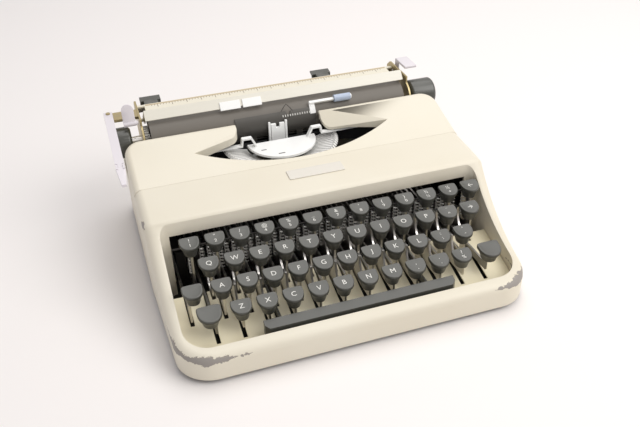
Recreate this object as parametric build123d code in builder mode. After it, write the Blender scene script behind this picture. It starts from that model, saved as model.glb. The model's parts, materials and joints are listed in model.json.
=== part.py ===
"""A flat portable typewriter, open and ready to type, in millimetres.

+Z is up, +Y runs from the typist to the back and +X to the typist's right.  The origin is
the centre of the object's box, on the surface that its rubber feet stand on.
"""
import os
from math import atan2, cos, degrees, hypot, radians, sin, sqrt, tan

from build123d import *

os.makedirs("parts", exist_ok=True)

# Overall box, whose width follows from the carriage
overall_depth = 264.0
foot_height = 4.0

# How close an edge lies to be picked at a place, and how far a cut runs past its piece
near = 1.0
over = 1.0

# Casing, measured back from the front lip and up from its lower edge
casing_half_width = 138.5
casing_depth = 250.0
casing_wall = 1.8
front_taper = 4.0
taper_depth = 110.0
front_corner_radius = 27.0
rear_corner_radius = 16.0
lip_rise = 20.2
crease_depth = 98.0
crease_rise = 70.0
crease_radius = 5.0
seam_depth = 144.0
seam_rise = 72.0
rim_sag = 11.7
top_edge_radius = 7.0
side_wall_rise = 54.0
seat_gap = 0.3

# Keyboard well cut through the casing
well_half_width = 128.0
well_front_depth = 10.0
well_rear_depth = 96.5
well_front_radius = 19.0
well_rear_radius = 7.0
apron_rise = 57.0

# Keyboard tray and bottom plate
tray_front_rise = 7.0
tray_rear_depth = 68.0
tray_rear_rise = 22.0
tray_thickness = 1.2
bottom_plate_rise = 0.8
bottom_plate_thickness = 1.2
foot_radius = 7.0
foot_inset = 30.0

# Chassis
frame_thickness = 1.5
frame_clearance = 7.7
frame_half_spacing = casing_half_width - casing_wall - frame_clearance
frame_front_depth = 104.0
frame_rear_depth = 240.0
frame_rise = 50.0

# Keyboard, with its rows numbered from the back
key_pitch = 19.0
first_key_x = -108.3
row_pitch = 18.4
row_climb = 7.25
number_row_depth = 83.6
number_row_rise = 58.6
key_half_width = 6.6
key_back = 5.8
key_front = 7.0
key_height = 11.6
cap_bulge = 2.1
cap_back_corner = 2.2
cap_front_corner = 4.0
key_base_share = 0.62
shift_key_scale = 1.16
row_shift = (0.0, 0.517, 0.76, 1.245)
row_count = (13, 12, 11, 10)
lever_thickness = 1.6
lever_width = 6.0
lever_slope = 0.055
slot_gap = 0.7
shaft_depth = 185.0
shaft_rise = 12.0
shaft_radius = 2.5
boss_radius = 5.0
running_gap = 0.05
comb_depth = 112.0
comb_thickness = 2.0
comb_rise = 30.0
comb_root_rise = 4.0

# Space bar
bar_half_length = 73.1
bar_centre_x = 1.0
bar_front_depth = 12.0
bar_back_depth = 19.3
bar_edge_rise = 23.2
bar_back_rise = 25.5
bar_base_rise = 14.5
bar_arm_slope = 0.032

# Type basket, round the middle of the typing line
mech_x = -7.0
basket_depth = 195.5
pivot_rise = 30.0
head_rise = 65.0
strike_rise = 78.0
pivot_ring = 13.0
bar_count = 44
bar_thickness = 0.7
bar_width = 3.0
slug_width = 2.2
slug_height = 5.0

# Platen and carriage, with places along it measured from the middle of the typing line
platen_depth = 218.0
platen_rise = 76.0
platen_radius = 16.0
platen_shaft_radius = 4.0
knob_radius = 13.0
end_plate_half = 119.2
end_plate_thickness = 1.6
plate_outer = end_plate_half + end_plate_thickness
platen_end_gap = 5.2
platen_half = end_plate_half - platen_end_gap
right_knob_gap = 3.2
right_knob_length = 24.0
overall_width = 2 * (plate_outer + right_knob_gap + right_knob_length)
bed_rise = 55.0
bed_thickness = 2.0


def depth(from_front):
    """The Y of a place that lies this far behind the front lip."""
    return from_front - overall_depth / 2


def rise(above_edge):
    """The Z of a place that lies this far above the casing's lower edge."""
    return above_edge + foot_height


def yz(from_front, above_edge):
    """A point of a side view, as the pair that a sketch on Plane.YZ takes."""
    return (depth(from_front), rise(above_edge))


def save(piece, name):
    """Label a finished piece and write it as its own STEP file."""
    piece.label = name
    export_step(piece, f"parts/{name}.step")


def side_plate(points, middle_x, thickness):
    """A plate that stands in a side view: its outline's points, its middle and its thickness."""
    with BuildPart() as plate:
        with BuildSketch(Plane.YZ.offset(middle_x)):
            with BuildLine():
                Polyline(*[yz(*point) for point in points], close=True)
            make_face()
        extrude(amount=thickness / 2, both=True)
    return plate.part


def cross_rod(from_x, to_x, from_front, above_edge, radius):
    """A round rod along X."""
    with BuildPart() as rod:
        with BuildSketch(Plane.YZ.offset(from_x)):
            with Locations(yz(from_front, above_edge)):
                Circle(radius)
        extrude(amount=to_x - from_x)
    return rod.part


def box_between(x_range, depth_range, rise_range):
    """A block between three pairs of limits."""
    size = [pair[1] - pair[0] for pair in (x_range, depth_range, rise_range)]
    middle = (sum(x_range) / 2, depth(sum(depth_range) / 2), rise(sum(rise_range) / 2))
    with BuildPart() as block:
        with Locations(middle):
            Box(*size)
    return block.part


# Casing: one drawn shell with the keyboard well sunk into it


def casing_outline(inset):
    """The casing seen from above, drawn in by inset, as a sketch on the ground plane."""
    half = casing_half_width - inset
    front, rear = depth(inset), depth(casing_depth - inset)
    with BuildSketch() as outline:
        with BuildLine():
            Polyline((-half + front_taper, front), (half - front_taper, front),
                     (half, depth(taper_depth)), (half, rear), (-half, rear),
                     (-half, depth(taper_depth)), close=True)
        make_face()
        fillet(vertices().sort_by(Axis.Y)[:2], front_corner_radius - inset)
        fillet(vertices().sort_by(Axis.Y)[-2:], rear_corner_radius - inset)
    return outline.sketch


def casing_block(inset, rear_top):
    """The casing's outer form drawn in by inset, with its rear part up to rear_top."""
    start = yz(inset, lip_rise - inset)
    crease = yz(crease_depth + inset / 2, crease_rise - inset)
    run, climb = crease[0] - start[0], crease[1] - start[1]
    chord = hypot(run, climb)
    middle = ((start[0] + crease[0]) / 2 + rim_sag * climb / chord,
              (start[1] + crease[1]) / 2 - rim_sag * run / chord)
    seam, rear = depth(seam_depth), depth(casing_depth - inset)
    with BuildPart() as block:
        with BuildSketch(Plane.YZ):
            with BuildLine():
                Line((start[0], rise(0)), start)
                ThreePointArc(start, middle, crease)
                Polyline(crease, (seam, rise(seam_rise - inset)), (seam, rise(rear_top)),
                         (rear, rise(rear_top)), (rear, rise(0)), (start[0], rise(0)))
            make_face()
        extrude(amount=casing_half_width, both=True)
        add(casing_outline(inset))
        extrude(amount=rise(seam_rise) * 2, mode=Mode.INTERSECT)
        crease_edge = edges().filter_by(Axis.X).filter_by_position(Axis.Y, crease[0] - near, crease[0] + near)
        fillet(crease_edge, crease_radius)
        rim = [edge for edge in edges().filter_by(Axis.Z, reverse=True)
               if edge.bounding_box().min.Z > start[1] - near
               and edge.bounding_box().max.Y < seam + near
               and (edge.bounding_box().size.X < casing_half_width
                    or edge.bounding_box().max.Y < start[0] + near)]
        fillet(rim, top_edge_radius - inset)
    return block.part


def well_outline(grow):
    """The keyboard well seen from above, made larger by grow."""
    half = well_half_width + grow
    front, rear = depth(well_front_depth - grow), depth(well_rear_depth + grow)
    with BuildSketch() as outline:
        with BuildLine():
            Polyline((-half, front), (half, front), (half, rear), (-half, rear), close=True)
        make_face()
        fillet(vertices().sort_by(Axis.Y)[:2], well_front_radius + grow)
        fillet(vertices().sort_by(Axis.Y)[-2:], well_rear_radius + grow)
    return outline.sketch


casing_outer = casing_block(0, side_wall_rise)
casing_inner = casing_block(casing_wall, seam_rise * 2)
apron_half = well_half_width - well_rear_radius
well_floor_rise = bottom_plate_rise + bottom_plate_thickness

with BuildPart() as well_wall:
    add(well_outline(casing_wall))
    extrude(amount=rise(seam_rise) * 2)
    add(casing_outer, mode=Mode.INTERSECT)
    add(box_between((-apron_half, apron_half), (tray_rear_depth, crease_depth + casing_wall), (0, apron_rise)),
        mode=Mode.SUBTRACT)
    add(box_between((-casing_half_width, casing_half_width), (0, crease_depth + casing_wall),
                    (0, well_floor_rise)), mode=Mode.SUBTRACT)

with BuildPart() as upper_casing:
    add(casing_outer)
    add(casing_inner, mode=Mode.SUBTRACT)
    add(well_wall.part)
    add(well_outline(0))
    extrude(amount=rise(seam_rise) * 2, mode=Mode.SUBTRACT)
save(upper_casing.part, "upper_casing")


# Where the key levers lie, row by row from the back


def row_place(row):
    """How far back a row's keys lie and how high their tops are."""
    return number_row_depth - row * row_pitch, number_row_rise - row * row_climb


def key_x(row, index):
    """The X of one key of a row."""
    return first_key_x + key_pitch * (row_shift[row] + index)


shift_depth, shift_rise = row_place(3)
lock_depth, lock_rise = row_place(2)
left_shift_x = first_key_x + 1.1
right_shift_x = 109.7
lock_x = -114.8
left_shift_lever_x = -104.0
right_shift_lever_x = 106.0
lock_lever_x = -118.4
arm_share = 0.6385
space_arm_xs = [key_x(0, 2 + arm_share), key_x(0, 8 + arm_share)]
key_levers = [(key_x(row, index), row_place(row)[0])
              for row in range(4) for index in range(row_count[row])]
special_levers = [(left_shift_lever_x, shift_depth), (right_shift_lever_x, shift_depth),
                  (lock_lever_x, lock_depth)]
special_levers += [(x, bar_back_depth) for x in space_arm_xs]
slot_width = lever_thickness + 2 * slot_gap


def lever_top(from_front, slope=lever_slope):
    """How high a key lever's upper edge is, this far behind the lip."""
    return shaft_rise + lever_width / 2 + (shaft_depth - from_front) * slope


# Keyboard tray: the painted plate under the keys, slotted for their levers

with BuildPart() as keyboard_tray:
    add(well_outline(-seat_gap))
    extrude(amount=rise(seam_rise))
    add(side_plate([(well_front_depth, tray_front_rise), (tray_rear_depth, tray_rear_rise),
                    (tray_rear_depth, tray_rear_rise - tray_thickness),
                    (well_front_depth, tray_front_rise - tray_thickness)], 0, 2 * casing_half_width),
        mode=Mode.INTERSECT)
    with BuildSketch():
        for x, front in key_levers + special_levers:
            if front < tray_rear_depth:
                slot_front = front - lever_width / 2 - 3 * slot_gap
                length = tray_rear_depth + slot_width - slot_front
                with Locations((x, depth(slot_front + length / 2))):
                    Rectangle(slot_width, length)
    extrude(amount=rise(seam_rise), mode=Mode.SUBTRACT)
save(keyboard_tray.part, "keyboard_tray")

# Bottom plate: the sheet that closes the casing from below

with BuildPart() as bottom_plate:
    with BuildSketch(Plane.XY.offset(rise(bottom_plate_rise))):
        add(casing_outline(casing_wall + seat_gap))
    extrude(amount=bottom_plate_thickness)
save(bottom_plate.part, "bottom_plate")

# Four rubber feet

foot_x = casing_half_width - foot_inset
foot_spots = [(x, depth(y)) for x in (-foot_x, foot_x) for y in (foot_inset, casing_depth - foot_inset)]
foot_chamfer = 1.0

with BuildPart() as rubber_feet:
    with BuildSketch():
        with Locations(*foot_spots):
            Circle(foot_radius)
    extrude(amount=rise(bottom_plate_rise))
    chamfer(faces().filter_by(Axis.Z).group_by(Axis.Z)[0].edges(), foot_chamfer)
save(rubber_feet.part, "rubber_feet")

# Bare name plate on the deck

plate_half = 23.0
plate_x = 3.0
plate_depth = 125.5
plate_width = 12.5
plate_thickness = 0.8
plate_corner = 1.0
deck_angle = degrees(atan2(seam_rise - crease_rise, seam_depth - crease_depth))
deck_at_plate = crease_rise + (plate_depth - crease_depth) * tan(radians(deck_angle))
plate_plane = Plane(origin=(plate_x, depth(plate_depth), rise(deck_at_plate)), x_dir=(1, 0, 0),
                    z_dir=(0, -sin(radians(deck_angle)), cos(radians(deck_angle))))

with BuildPart() as badge_plate:
    with BuildSketch(plate_plane):
        RectangleRounded(2 * plate_half, plate_width, plate_corner)
    extrude(amount=plate_thickness)
save(badge_plate.part, "badge_plate")

# Chassis: two steel side frames, the key shaft, the lever comb and the carriage rail

rail_depth = (228.0, 238.0)
rail_rise = (49.0, bed_rise - seat_gap)
spool_bar_depth = (184.0, 188.5)
spool_bar_rise = (70.0, 71.6)
frame_post_lean = 6.0
side_frame_points = [(frame_front_depth, well_floor_rise), (frame_rear_depth, well_floor_rise),
                     (frame_rear_depth, frame_rise), (spool_bar_depth[1], frame_rise),
                     (spool_bar_depth[1], spool_bar_rise[1]), (spool_bar_depth[0], spool_bar_rise[1]),
                     (spool_bar_depth[0] - frame_post_lean, frame_rise), (frame_front_depth, frame_rise)]

with BuildPart() as side_frames:
    for side in (-1, 1):
        middle_x = side * (frame_half_spacing + frame_thickness / 2)
        add(side_plate(side_frame_points, middle_x, frame_thickness))
save(side_frames.part, "side_frames")

with BuildPart() as key_shaft:
    add(cross_rod(-frame_half_spacing, frame_half_spacing, shaft_depth, shaft_rise, shaft_radius))
save(key_shaft.part, "key_shaft")

with BuildPart() as lever_comb:
    add(box_between((-frame_half_spacing, frame_half_spacing),
                    (comb_depth - comb_thickness / 2, comb_depth + comb_thickness / 2),
                    (well_floor_rise, comb_rise)))
    with BuildSketch(Plane.XY.offset(rise(comb_root_rise))):
        with Locations(*[(x, depth(comb_depth)) for x, front in key_levers + special_levers]):
            Rectangle(slot_width, 2 * comb_thickness)
    extrude(amount=comb_rise, mode=Mode.SUBTRACT)
save(lever_comb.part, "lever_comb")

with BuildPart() as carriage_rail:
    add(box_between((-frame_half_spacing, frame_half_spacing), rail_depth, rail_rise))
save(carriage_rail.part, "carriage_rail")

# Keys: a moulded cap on a steel lever that swings on the key shaft


def key_cap(scale_up):
    """A key's cap seen from above as a rounded shield, tapering down to its stem."""
    half, back, front = key_half_width * scale_up, key_back * scale_up, key_front * scale_up
    bulge = cap_bulge * scale_up
    with BuildPart() as cap:
        for share, height in ((key_base_share, 0), (1, key_height)):
            with BuildSketch(Plane.XY.offset(height)):
                with BuildLine():
                    Line((-half * share, back * share), (half * share, back * share))
                    ThreePointArc((half * share, back * share), (half * share, -bulge * share),
                                  (0, -front * share))
                    ThreePointArc((0, -front * share), (-half * share, -bulge * share),
                                  (-half * share, back * share))
                make_face()
                fillet(vertices().group_by(Axis.Y)[-1], cap_back_corner * share)
                fillet(vertices().group_by(Axis.Y)[0], cap_front_corner * share)
        loft()
    return cap.part


def key_lever(x, key_depth, cap_base_rise, slope=lever_slope):
    """A lever from under a key cap back to the shaft, with its stem and its bored boss."""
    half = lever_width / 2
    front, back = key_depth - half, key_depth + half
    with BuildPart() as lever:
        with BuildSketch(Plane.YZ.offset(x)):
            with BuildLine():
                Polyline(yz(front, cap_base_rise), yz(back, cap_base_rise),
                         yz(back, lever_top(back, slope)), yz(shaft_depth, shaft_rise + half),
                         yz(shaft_depth, shaft_rise - half), yz(back, lever_top(back, slope) - lever_width),
                         yz(front, lever_top(front, slope) - lever_width), close=True)
            make_face()
            with Locations(yz(shaft_depth, shaft_rise)):
                Circle(boss_radius)
                Circle(shaft_radius + running_gap, mode=Mode.SUBTRACT)
        extrude(amount=lever_thickness / 2, both=True)
    return lever.part


standard_cap = key_cap(1.0)
shift_cap = key_cap(shift_key_scale)


def cap_at(cap, x, row):
    """A copy of a cap with its top at a row's height."""
    place, top = row_place(row)
    return cap.moved(Location((x, depth(place), rise(top - key_height))))


def key_row(row, indices):
    """The caps and levers of some keys of one row, each its own solid."""
    place, top = row_place(row)
    with BuildPart() as keys:
        for index in indices:
            x = key_x(row, index)
            add(cap_at(standard_cap, x, row))
            add(key_lever(x, place, top - key_height))
    return keys.part


row_names = ("keys_number_row", "keys_top_row", "keys_home_row", "keys_bottom_row")
row_indices = (range(1, row_count[0] - 1), range(row_count[1] - 1), range(row_count[2]), range(row_count[3]))

for row, name in enumerate(row_names):
    save(key_row(row, row_indices[row]), name)
save(key_row(0, [0]), "first_key")
save(key_row(0, [row_count[0] - 1]), "backspace_key")
save(key_row(1, [row_count[1] - 1]), "margin_release_key")

# Shift keys, joined behind the shaft by a cross tube, and the shift lock

cross_tube_depth = 200.0
cross_tube_rise = 9.0
cross_tube_radius = 2.5
tube_arm_half = 2.0
tube_arm_lap = 1.5


with BuildPart() as left_shift_key:
    add(cap_at(shift_cap, left_shift_x, 3))
save(left_shift_key.part, "left_shift_key")

with BuildPart() as right_shift_key:
    add(cap_at(shift_cap, right_shift_x, 3))
save(right_shift_key.part, "right_shift_key")

with BuildPart() as shift_frame:
    for lever_x in (left_shift_lever_x, right_shift_lever_x):
        add(key_lever(lever_x, shift_depth, shift_rise - key_height))
        add(box_between((lever_x - lever_thickness / 2, lever_x + lever_thickness / 2),
                        (shaft_depth + boss_radius - tube_arm_lap, cross_tube_depth),
                        (cross_tube_rise - tube_arm_half, cross_tube_rise + tube_arm_half)))
    add(cross_rod(left_shift_lever_x, right_shift_lever_x, cross_tube_depth, cross_tube_rise,
                  cross_tube_radius))
save(shift_frame.part, "shift_frame")

lock_step_left = lock_lever_x - lever_thickness / 2
lock_step_right = lock_x + lever_thickness / 2
lock_base_rise = lock_rise - key_height

with BuildPart() as shift_lock_key:
    add(cap_at(standard_cap, lock_x, 2))
    add(key_lever(lock_lever_x, lock_depth, lock_base_rise))
    add(box_between((lock_step_left, lock_step_right),
                    (lock_depth - lever_width / 2, lock_depth + lever_width / 2),
                    (lock_base_rise - lever_thickness, lock_base_rise)))
save(shift_lock_key.part, "shift_lock_key")

# Space bar on two arms

bar_chamfer = 3.0
bar_base_ease = 1.0

with BuildPart() as space_bar:
    add(side_plate([(bar_front_depth, bar_edge_rise), (bar_back_depth, bar_back_rise),
                    (bar_back_depth, bar_base_rise),
                    (bar_front_depth + bar_base_ease, bar_base_rise - bar_base_ease),
                    (bar_front_depth, bar_base_rise)], bar_centre_x, 2 * bar_half_length))
    ends = faces().filter_by(Axis.X).edges().filter_by(Axis.Z)
    chamfer(ends.group_by(Axis.Y)[0], bar_chamfer)
    for x in space_arm_xs:
        add(key_lever(x, bar_back_depth - lever_width / 2, bar_base_rise + lever_width / 2, bar_arm_slope))
save(space_bar.part, "space_bar")

# Type basket: the segment casting with its typebars, which drops to type capitals

bar_length = hypot(pivot_ring, strike_rise - pivot_rise)
head_ring = pivot_ring + sqrt(bar_length**2 - (head_rise - pivot_rise)**2)
segment_thickness = 3.8
segment_rise = pivot_rise - bar_width / 2 - seat_gap - segment_thickness
post_half_spacing = 26.0
post_depth = 207.0
post_radius = 2.0
post_rise = 50.0
segment_outer = 17.0
segment_bore = 8.0
segment_rear_depth = 211.0
segment_half = 31.0
basket_centre = (mech_x, depth(basket_depth))

with BuildPart() as type_segment:
    with BuildSketch(Plane.XY.offset(rise(segment_rise))):
        with Locations(basket_centre):
            Circle(segment_outer)
            Circle(segment_bore, mode=Mode.SUBTRACT)
            Rectangle(4 * pivot_ring, 2 * pivot_ring, align=(Align.CENTER, Align.MIN), mode=Mode.SUBTRACT)
        with Locations((mech_x, depth((basket_depth + segment_rear_depth) / 2))):
            Rectangle(2 * segment_half, segment_rear_depth - basket_depth)
        with Locations(*[(mech_x + side * post_half_spacing, depth(post_depth)) for side in (-1, 1)]):
            Circle(post_radius + running_gap, mode=Mode.SUBTRACT)
    extrude(amount=segment_thickness)
save(type_segment.part, "type_segment")

with BuildPart() as basket_posts:
    with BuildSketch(Plane.XY.offset(rise(well_floor_rise))):
        with Locations(*[(mech_x + side * post_half_spacing, depth(post_depth)) for side in (-1, 1)]):
            Circle(post_radius)
    extrude(amount=post_rise - well_floor_rise)
save(basket_posts.part, "basket_posts")

# Typebars: flat blades that fan out round the front of the segment, each with its type slug

with BuildPart() as resting_bar:
    reach, climb = head_ring - pivot_ring, head_rise - pivot_rise
    with BuildSketch(Plane.XZ):
        with Locations(((pivot_ring + head_ring) / 2, (pivot_rise + head_rise) / 2)):
            SlotCenterToCenter(hypot(reach, climb), bar_width, rotation=degrees(atan2(climb, reach)))
    extrude(amount=bar_thickness / 2, both=True)
    with Locations(Location((head_ring, 0, head_rise), (0, -degrees(atan2(climb, reach)), 0))):
        Box(slug_height, slug_width, bar_width)


def bar_at(angle):
    """A resting typebar turned about the basket's middle, from 0 at the right to 180 at the left."""
    return resting_bar.part.moved(Location((*basket_centre, foot_height), (0, 0, -angle)))


bar_angles = [180 * index / (bar_count - 1) for index in range(bar_count)]

with BuildPart() as typebars_right:
    for angle in bar_angles[:bar_count // 2]:
        add(bar_at(angle))
save(typebars_right.part, "typebars_right")

with BuildPart() as typebars_left:
    for angle in bar_angles[bar_count // 2:-1]:
        add(bar_at(angle))
save(typebars_left.part, "typebars_left")

with BuildPart() as first_typebar:
    add(bar_at(bar_angles[-1]))
save(first_typebar.part, "first_typebar")

# Typebar guard: the white half moon in the basket, hung from two ears on strips to the frames

guard_radius = 30.0
guard_depth = 190.0
guard_rise = 68.8
guard_thickness = 2.0
ear_half_inner = 22.0
ear_half_outer = 34.5
ear_width = 4.0
ear_thickness = 1.6
ear_rise = 77.0
ear_lean = 5.0
ear_crank = 1.0
strip_rise = spool_bar_rise[0] + ear_thickness / 2

with BuildPart() as typebar_guard:
    with BuildSketch(Plane.XY.offset(rise(guard_rise - guard_thickness))):
        with Locations((mech_x, depth(guard_depth))):
            Circle(guard_radius)
            Rectangle(4 * guard_radius, 2 * guard_radius, align=(Align.CENTER, Align.MIN), mode=Mode.SUBTRACT)
    extrude(amount=guard_thickness)
    for side in (-1, 1):
        frame_x = side * (frame_half_spacing - ear_thickness / 2)
        ear = [(mech_x + side * ear_half_inner, rise(guard_rise - guard_thickness)),
               (mech_x + side * (ear_half_inner + ear_lean), rise(ear_rise)),
               (mech_x + side * ear_half_outer, rise(ear_rise)),
               (mech_x + side * (ear_half_outer + ear_crank), rise(strip_rise)),
               (frame_x, rise(strip_rise))]
        with BuildSketch(Plane.XZ.offset(-depth(spool_bar_depth[1]))):
            with BuildLine():
                route = Polyline(*ear)
                offset(route, amount=ear_thickness / 2, side=Side.BOTH)
            make_face()
        extrude(amount=ear_width)
save(typebar_guard.part, "typebar_guard")

# Type guide, card plate and ribbon vibrator in front of the platen

guide_half = 6.0
guide_front_depth = 197.4
guide_thickness = 2.6
guide_rise = 80.0
guide_notch_half = 1.6
guide_notch_rise = 76.5
yoke_thickness = 2.0
yoke_half = 29.0
yoke_rear_depth = 210.0

with BuildPart() as type_guide:
    add(box_between((mech_x - guide_half, mech_x + guide_half),
                    (guide_front_depth, guide_front_depth + guide_thickness), (post_rise, guide_rise)))
    add(box_between((mech_x - guide_half, mech_x + guide_half),
                    (guide_front_depth, yoke_rear_depth), (post_rise, post_rise + yoke_thickness)))
    add(box_between((mech_x - guide_notch_half, mech_x + guide_notch_half),
                    (guide_front_depth - over, guide_front_depth + 2 * guide_thickness),
                    (guide_notch_rise, guide_rise + over)), mode=Mode.SUBTRACT)
    add(box_between((mech_x - yoke_half, mech_x + yoke_half),
                    (guide_front_depth + guide_thickness, yoke_rear_depth),
                    (post_rise, post_rise + yoke_thickness)))
save(type_guide.part, "type_guide")

card_half = 36.0
card_thickness = 0.6
card_gap = 0.6
card_angles = (-28.0, 40.0)
card_inner = platen_radius + card_gap
notch_x = mech_x + 11.5
notch_half = 4.5
notch_foot = 5.0
leg_offset = 21.0
leg_width = 6.0
leg_depth = (202.5, 203.3)
leg_top = platen_rise + card_inner * sin(radians(card_angles[0])) + card_thickness


def spot(radius, angle):
    """A point of a side view at a radius from the platen's axis, its angle measured up from the front."""
    return yz(platen_depth - radius * cos(radians(angle)), platen_rise + radius * sin(radians(angle)))


def arc_plate(x_range, inner, thickness, from_angle, to_angle):
    """A sheet bent round the platen's axis; angles run from the front, positive upwards."""
    middle = (from_angle + to_angle) / 2
    outer = inner + thickness
    with BuildPart() as sheet:
        with BuildSketch(Plane.YZ.offset(x_range[0])):
            with BuildLine():
                ThreePointArc(spot(inner, from_angle), spot(inner, middle), spot(inner, to_angle))
                Line(spot(inner, to_angle), spot(outer, to_angle))
                ThreePointArc(spot(outer, to_angle), spot(outer, middle), spot(outer, from_angle))
                Line(spot(outer, from_angle), spot(inner, from_angle))
            make_face()
        extrude(amount=x_range[1] - x_range[0])
    return sheet.part


with BuildPart() as card_plate:
    add(arc_plate((mech_x - card_half, mech_x + card_half), card_inner, card_thickness, *card_angles))
    for side in (-1, 1):
        leg_x = mech_x + side * leg_offset
        leg = (leg_x - leg_width / 2, leg_x + leg_width / 2)
        add(box_between(leg, leg_depth, (post_rise + yoke_thickness, leg_top)))
    with BuildSketch(Plane.XZ.offset(-depth(platen_depth))):
        with BuildLine():
            Polyline((notch_x - notch_half, rise(platen_rise + card_inner)),
                     (notch_x, rise(platen_rise + notch_foot)),
                     (notch_x + notch_half, rise(platen_rise + card_inner)), close=True)
        make_face()
    extrude(amount=2 * platen_radius, mode=Mode.SUBTRACT)
save(card_plate.part, "card_plate")

prong_width = 2.0
prong_gap = 0.4
prong_offset = guide_half + prong_gap + prong_width / 2
vibrator_rise = (36.0, 40.0)
prong_rise = 82.0
vibrator_thickness = 2.0
vibrator_depth = (guide_front_depth, guide_front_depth + vibrator_thickness)

with BuildPart() as ribbon_vibrator:
    for side in (-1, 1):
        prong_x = mech_x + side * prong_offset
        prong = (prong_x - prong_width / 2, prong_x + prong_width / 2)
        add(box_between(prong, vibrator_depth, (vibrator_rise[0], prong_rise)))
    add(box_between((mech_x - prong_offset, mech_x + prong_offset), vibrator_depth, vibrator_rise))
save(ribbon_vibrator.part, "ribbon_vibrator")

# Ribbon spools in their cups, and the ribbon between them

spool_x = 97.0
spool_depth = 170.0
spool_radius = 19.0
spool_hub_radius = 15.0
spool_rise = (52.0, 66.0)
flange_thickness = 0.8
spindle_radius = 2.0
cup_radius = 21.0
cup_thickness = 1.5
cup_arm_depth = 164.0
cup_arm_width = 18.0
spindle_rise = 67.0
ribbon_rise = (53.2, 64.8)
ribbon_thickness = 0.4
ribbon_depth = guide_front_depth + guide_thickness + ribbon_thickness
ribbon_straight_half = 55.0
ribbon_leave = 10.0

with BuildPart() as spool_cups:
    for side in (-1, 1):
        with BuildSketch(Plane.XY.offset(rise(frame_rise))):
            with Locations((side * spool_x, depth(spool_depth))):
                Circle(cup_radius)
            with Locations((side * (spool_x + frame_half_spacing + frame_thickness) / 2, depth(cup_arm_depth))):
                Rectangle(frame_half_spacing + frame_thickness - spool_x, cup_arm_width)
        extrude(amount=cup_thickness)
        with BuildSketch(Plane.XY.offset(rise(frame_rise))):
            with Locations((side * spool_x, depth(spool_depth))):
                Circle(spindle_radius)
        extrude(amount=spindle_rise - frame_rise)
save(spool_cups.part, "spool_cups")


def ribbon_spool(side):
    """A spool wound with ribbon: two flanges, the winding and the bore for its spindle."""
    with BuildPart() as spool:
        with BuildSketch(Plane.XY.offset(rise(spool_rise[0]))):
            with Locations((side * spool_x, depth(spool_depth))):
                Circle(spool_radius)
        extrude(amount=flange_thickness)
        with BuildSketch(Plane.XY.offset(rise(spool_rise[0]))):
            with Locations((side * spool_x, depth(spool_depth))):
                Circle(spool_hub_radius)
        extrude(amount=spool_rise[1] - spool_rise[0])
        with BuildSketch(Plane.XY.offset(rise(spool_rise[1] - flange_thickness))):
            with Locations((side * spool_x, depth(spool_depth))):
                Circle(spool_radius)
        extrude(amount=flange_thickness)
        with Locations((side * spool_x, depth(spool_depth), rise(spool_rise[1]))):
            Hole(spindle_radius + running_gap)
    return spool.part


save(ribbon_spool(-1), "left_ribbon_spool")
save(ribbon_spool(1), "right_ribbon_spool")

spool_back = spool_depth + spool_hub_radius + seat_gap + ribbon_thickness / 2

with BuildPart() as ribbon:
    stops = [(-spool_x, spool_back), (-spool_x + ribbon_leave, spool_back),
             (mech_x - ribbon_straight_half, ribbon_depth), (mech_x + ribbon_straight_half, ribbon_depth),
             (spool_x - ribbon_leave, spool_back), (spool_x, spool_back)]
    with BuildSketch(Plane.XY.offset(rise(ribbon_rise[0]))):
        with BuildLine():
            route = Polyline(*[(x, depth(y)) for x, y in stops])
            offset(route, amount=ribbon_thickness / 2, side=Side.BOTH)
        make_face()
    extrude(amount=ribbon_rise[1] - ribbon_rise[0])
save(ribbon.part, "ribbon")

# Ribbon cover: a lift-off shell behind the seam, cut away over the type basket

cover_rear_depth = 201.5
cover_rear_rise = 87.5
cover_rear_radius = 14.0
cover_side_radius = 5.5
cover_lobe_radius = 10.0
cover_tip_x = 84.5
cover_tip_depth = 172.5
cover_arc_depth = 148.5
cover_lobe_depth = 186.0
cover_gap_half = 37.5
cover_flange = 8.0
cover_lip_rise = 82.0
head_room_rise = 70.0
cover_front_depth = seam_depth + seat_gap
cover_base_rise = side_wall_rise + seat_gap
cover_slope = (cover_rear_rise - seam_rise) / (cover_rear_depth - cover_front_depth)
lobe_creases = ((-1, (mech_x - cover_gap_half, 189.2)), (1, (27.0, cover_rear_depth)))


def cover_block(inset, front):
    """The ribbon cover's outer form drawn in by inset, from front back to its rear edge."""
    half, rear = casing_half_width - inset, cover_rear_depth - inset
    with BuildPart() as block:
        with BuildSketch(Plane.XY.offset(rise(cover_base_rise))):
            with BuildLine():
                Polyline((-half, depth(front)), (half, depth(front)), (half, depth(rear)),
                         (-half, depth(rear)), close=True)
            make_face()
            fillet(vertices().sort_by(Axis.Y)[-2:], cover_rear_radius - inset)
        extrude(amount=cover_rear_rise)
        add(side_plate([(front, cover_base_rise), (rear, cover_base_rise),
                        (rear, cover_rear_rise - inset), (front, seam_rise - inset)], 0, 2 * half),
            mode=Mode.INTERSECT)
        sides = [edge for edge in edges() if edge.bounding_box().min.Z > rise(seam_rise - inset) - near
                 and edge.bounding_box().size.X < half and edge.bounding_box().size.Y > near]
        fillet(sides, cover_side_radius - inset)
    return block.part


def cover_opening(grow):
    """The opening over the basket seen from above, made larger by grow."""
    left, right = mech_x - cover_gap_half, mech_x + cover_gap_half
    with BuildSketch() as opening:
        with BuildLine():
            ThreePointArc((-cover_tip_x, depth(cover_tip_depth)), (0, depth(cover_arc_depth)),
                          (cover_tip_x, depth(cover_tip_depth)))
            Polyline((cover_tip_x, depth(cover_tip_depth)), (right, depth(cover_lobe_depth)),
                     (right, depth(platen_depth)), (left, depth(platen_depth)),
                     (left, depth(cover_lobe_depth)), (-cover_tip_x, depth(cover_tip_depth)))
        make_face()
        lobe_y = depth(cover_lobe_depth)
        fillet(vertices().filter_by_position(Axis.Y, lobe_y - near, lobe_y + near), cover_lobe_radius)
        if grow:
            offset(amount=grow)
    return opening.sketch


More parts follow.
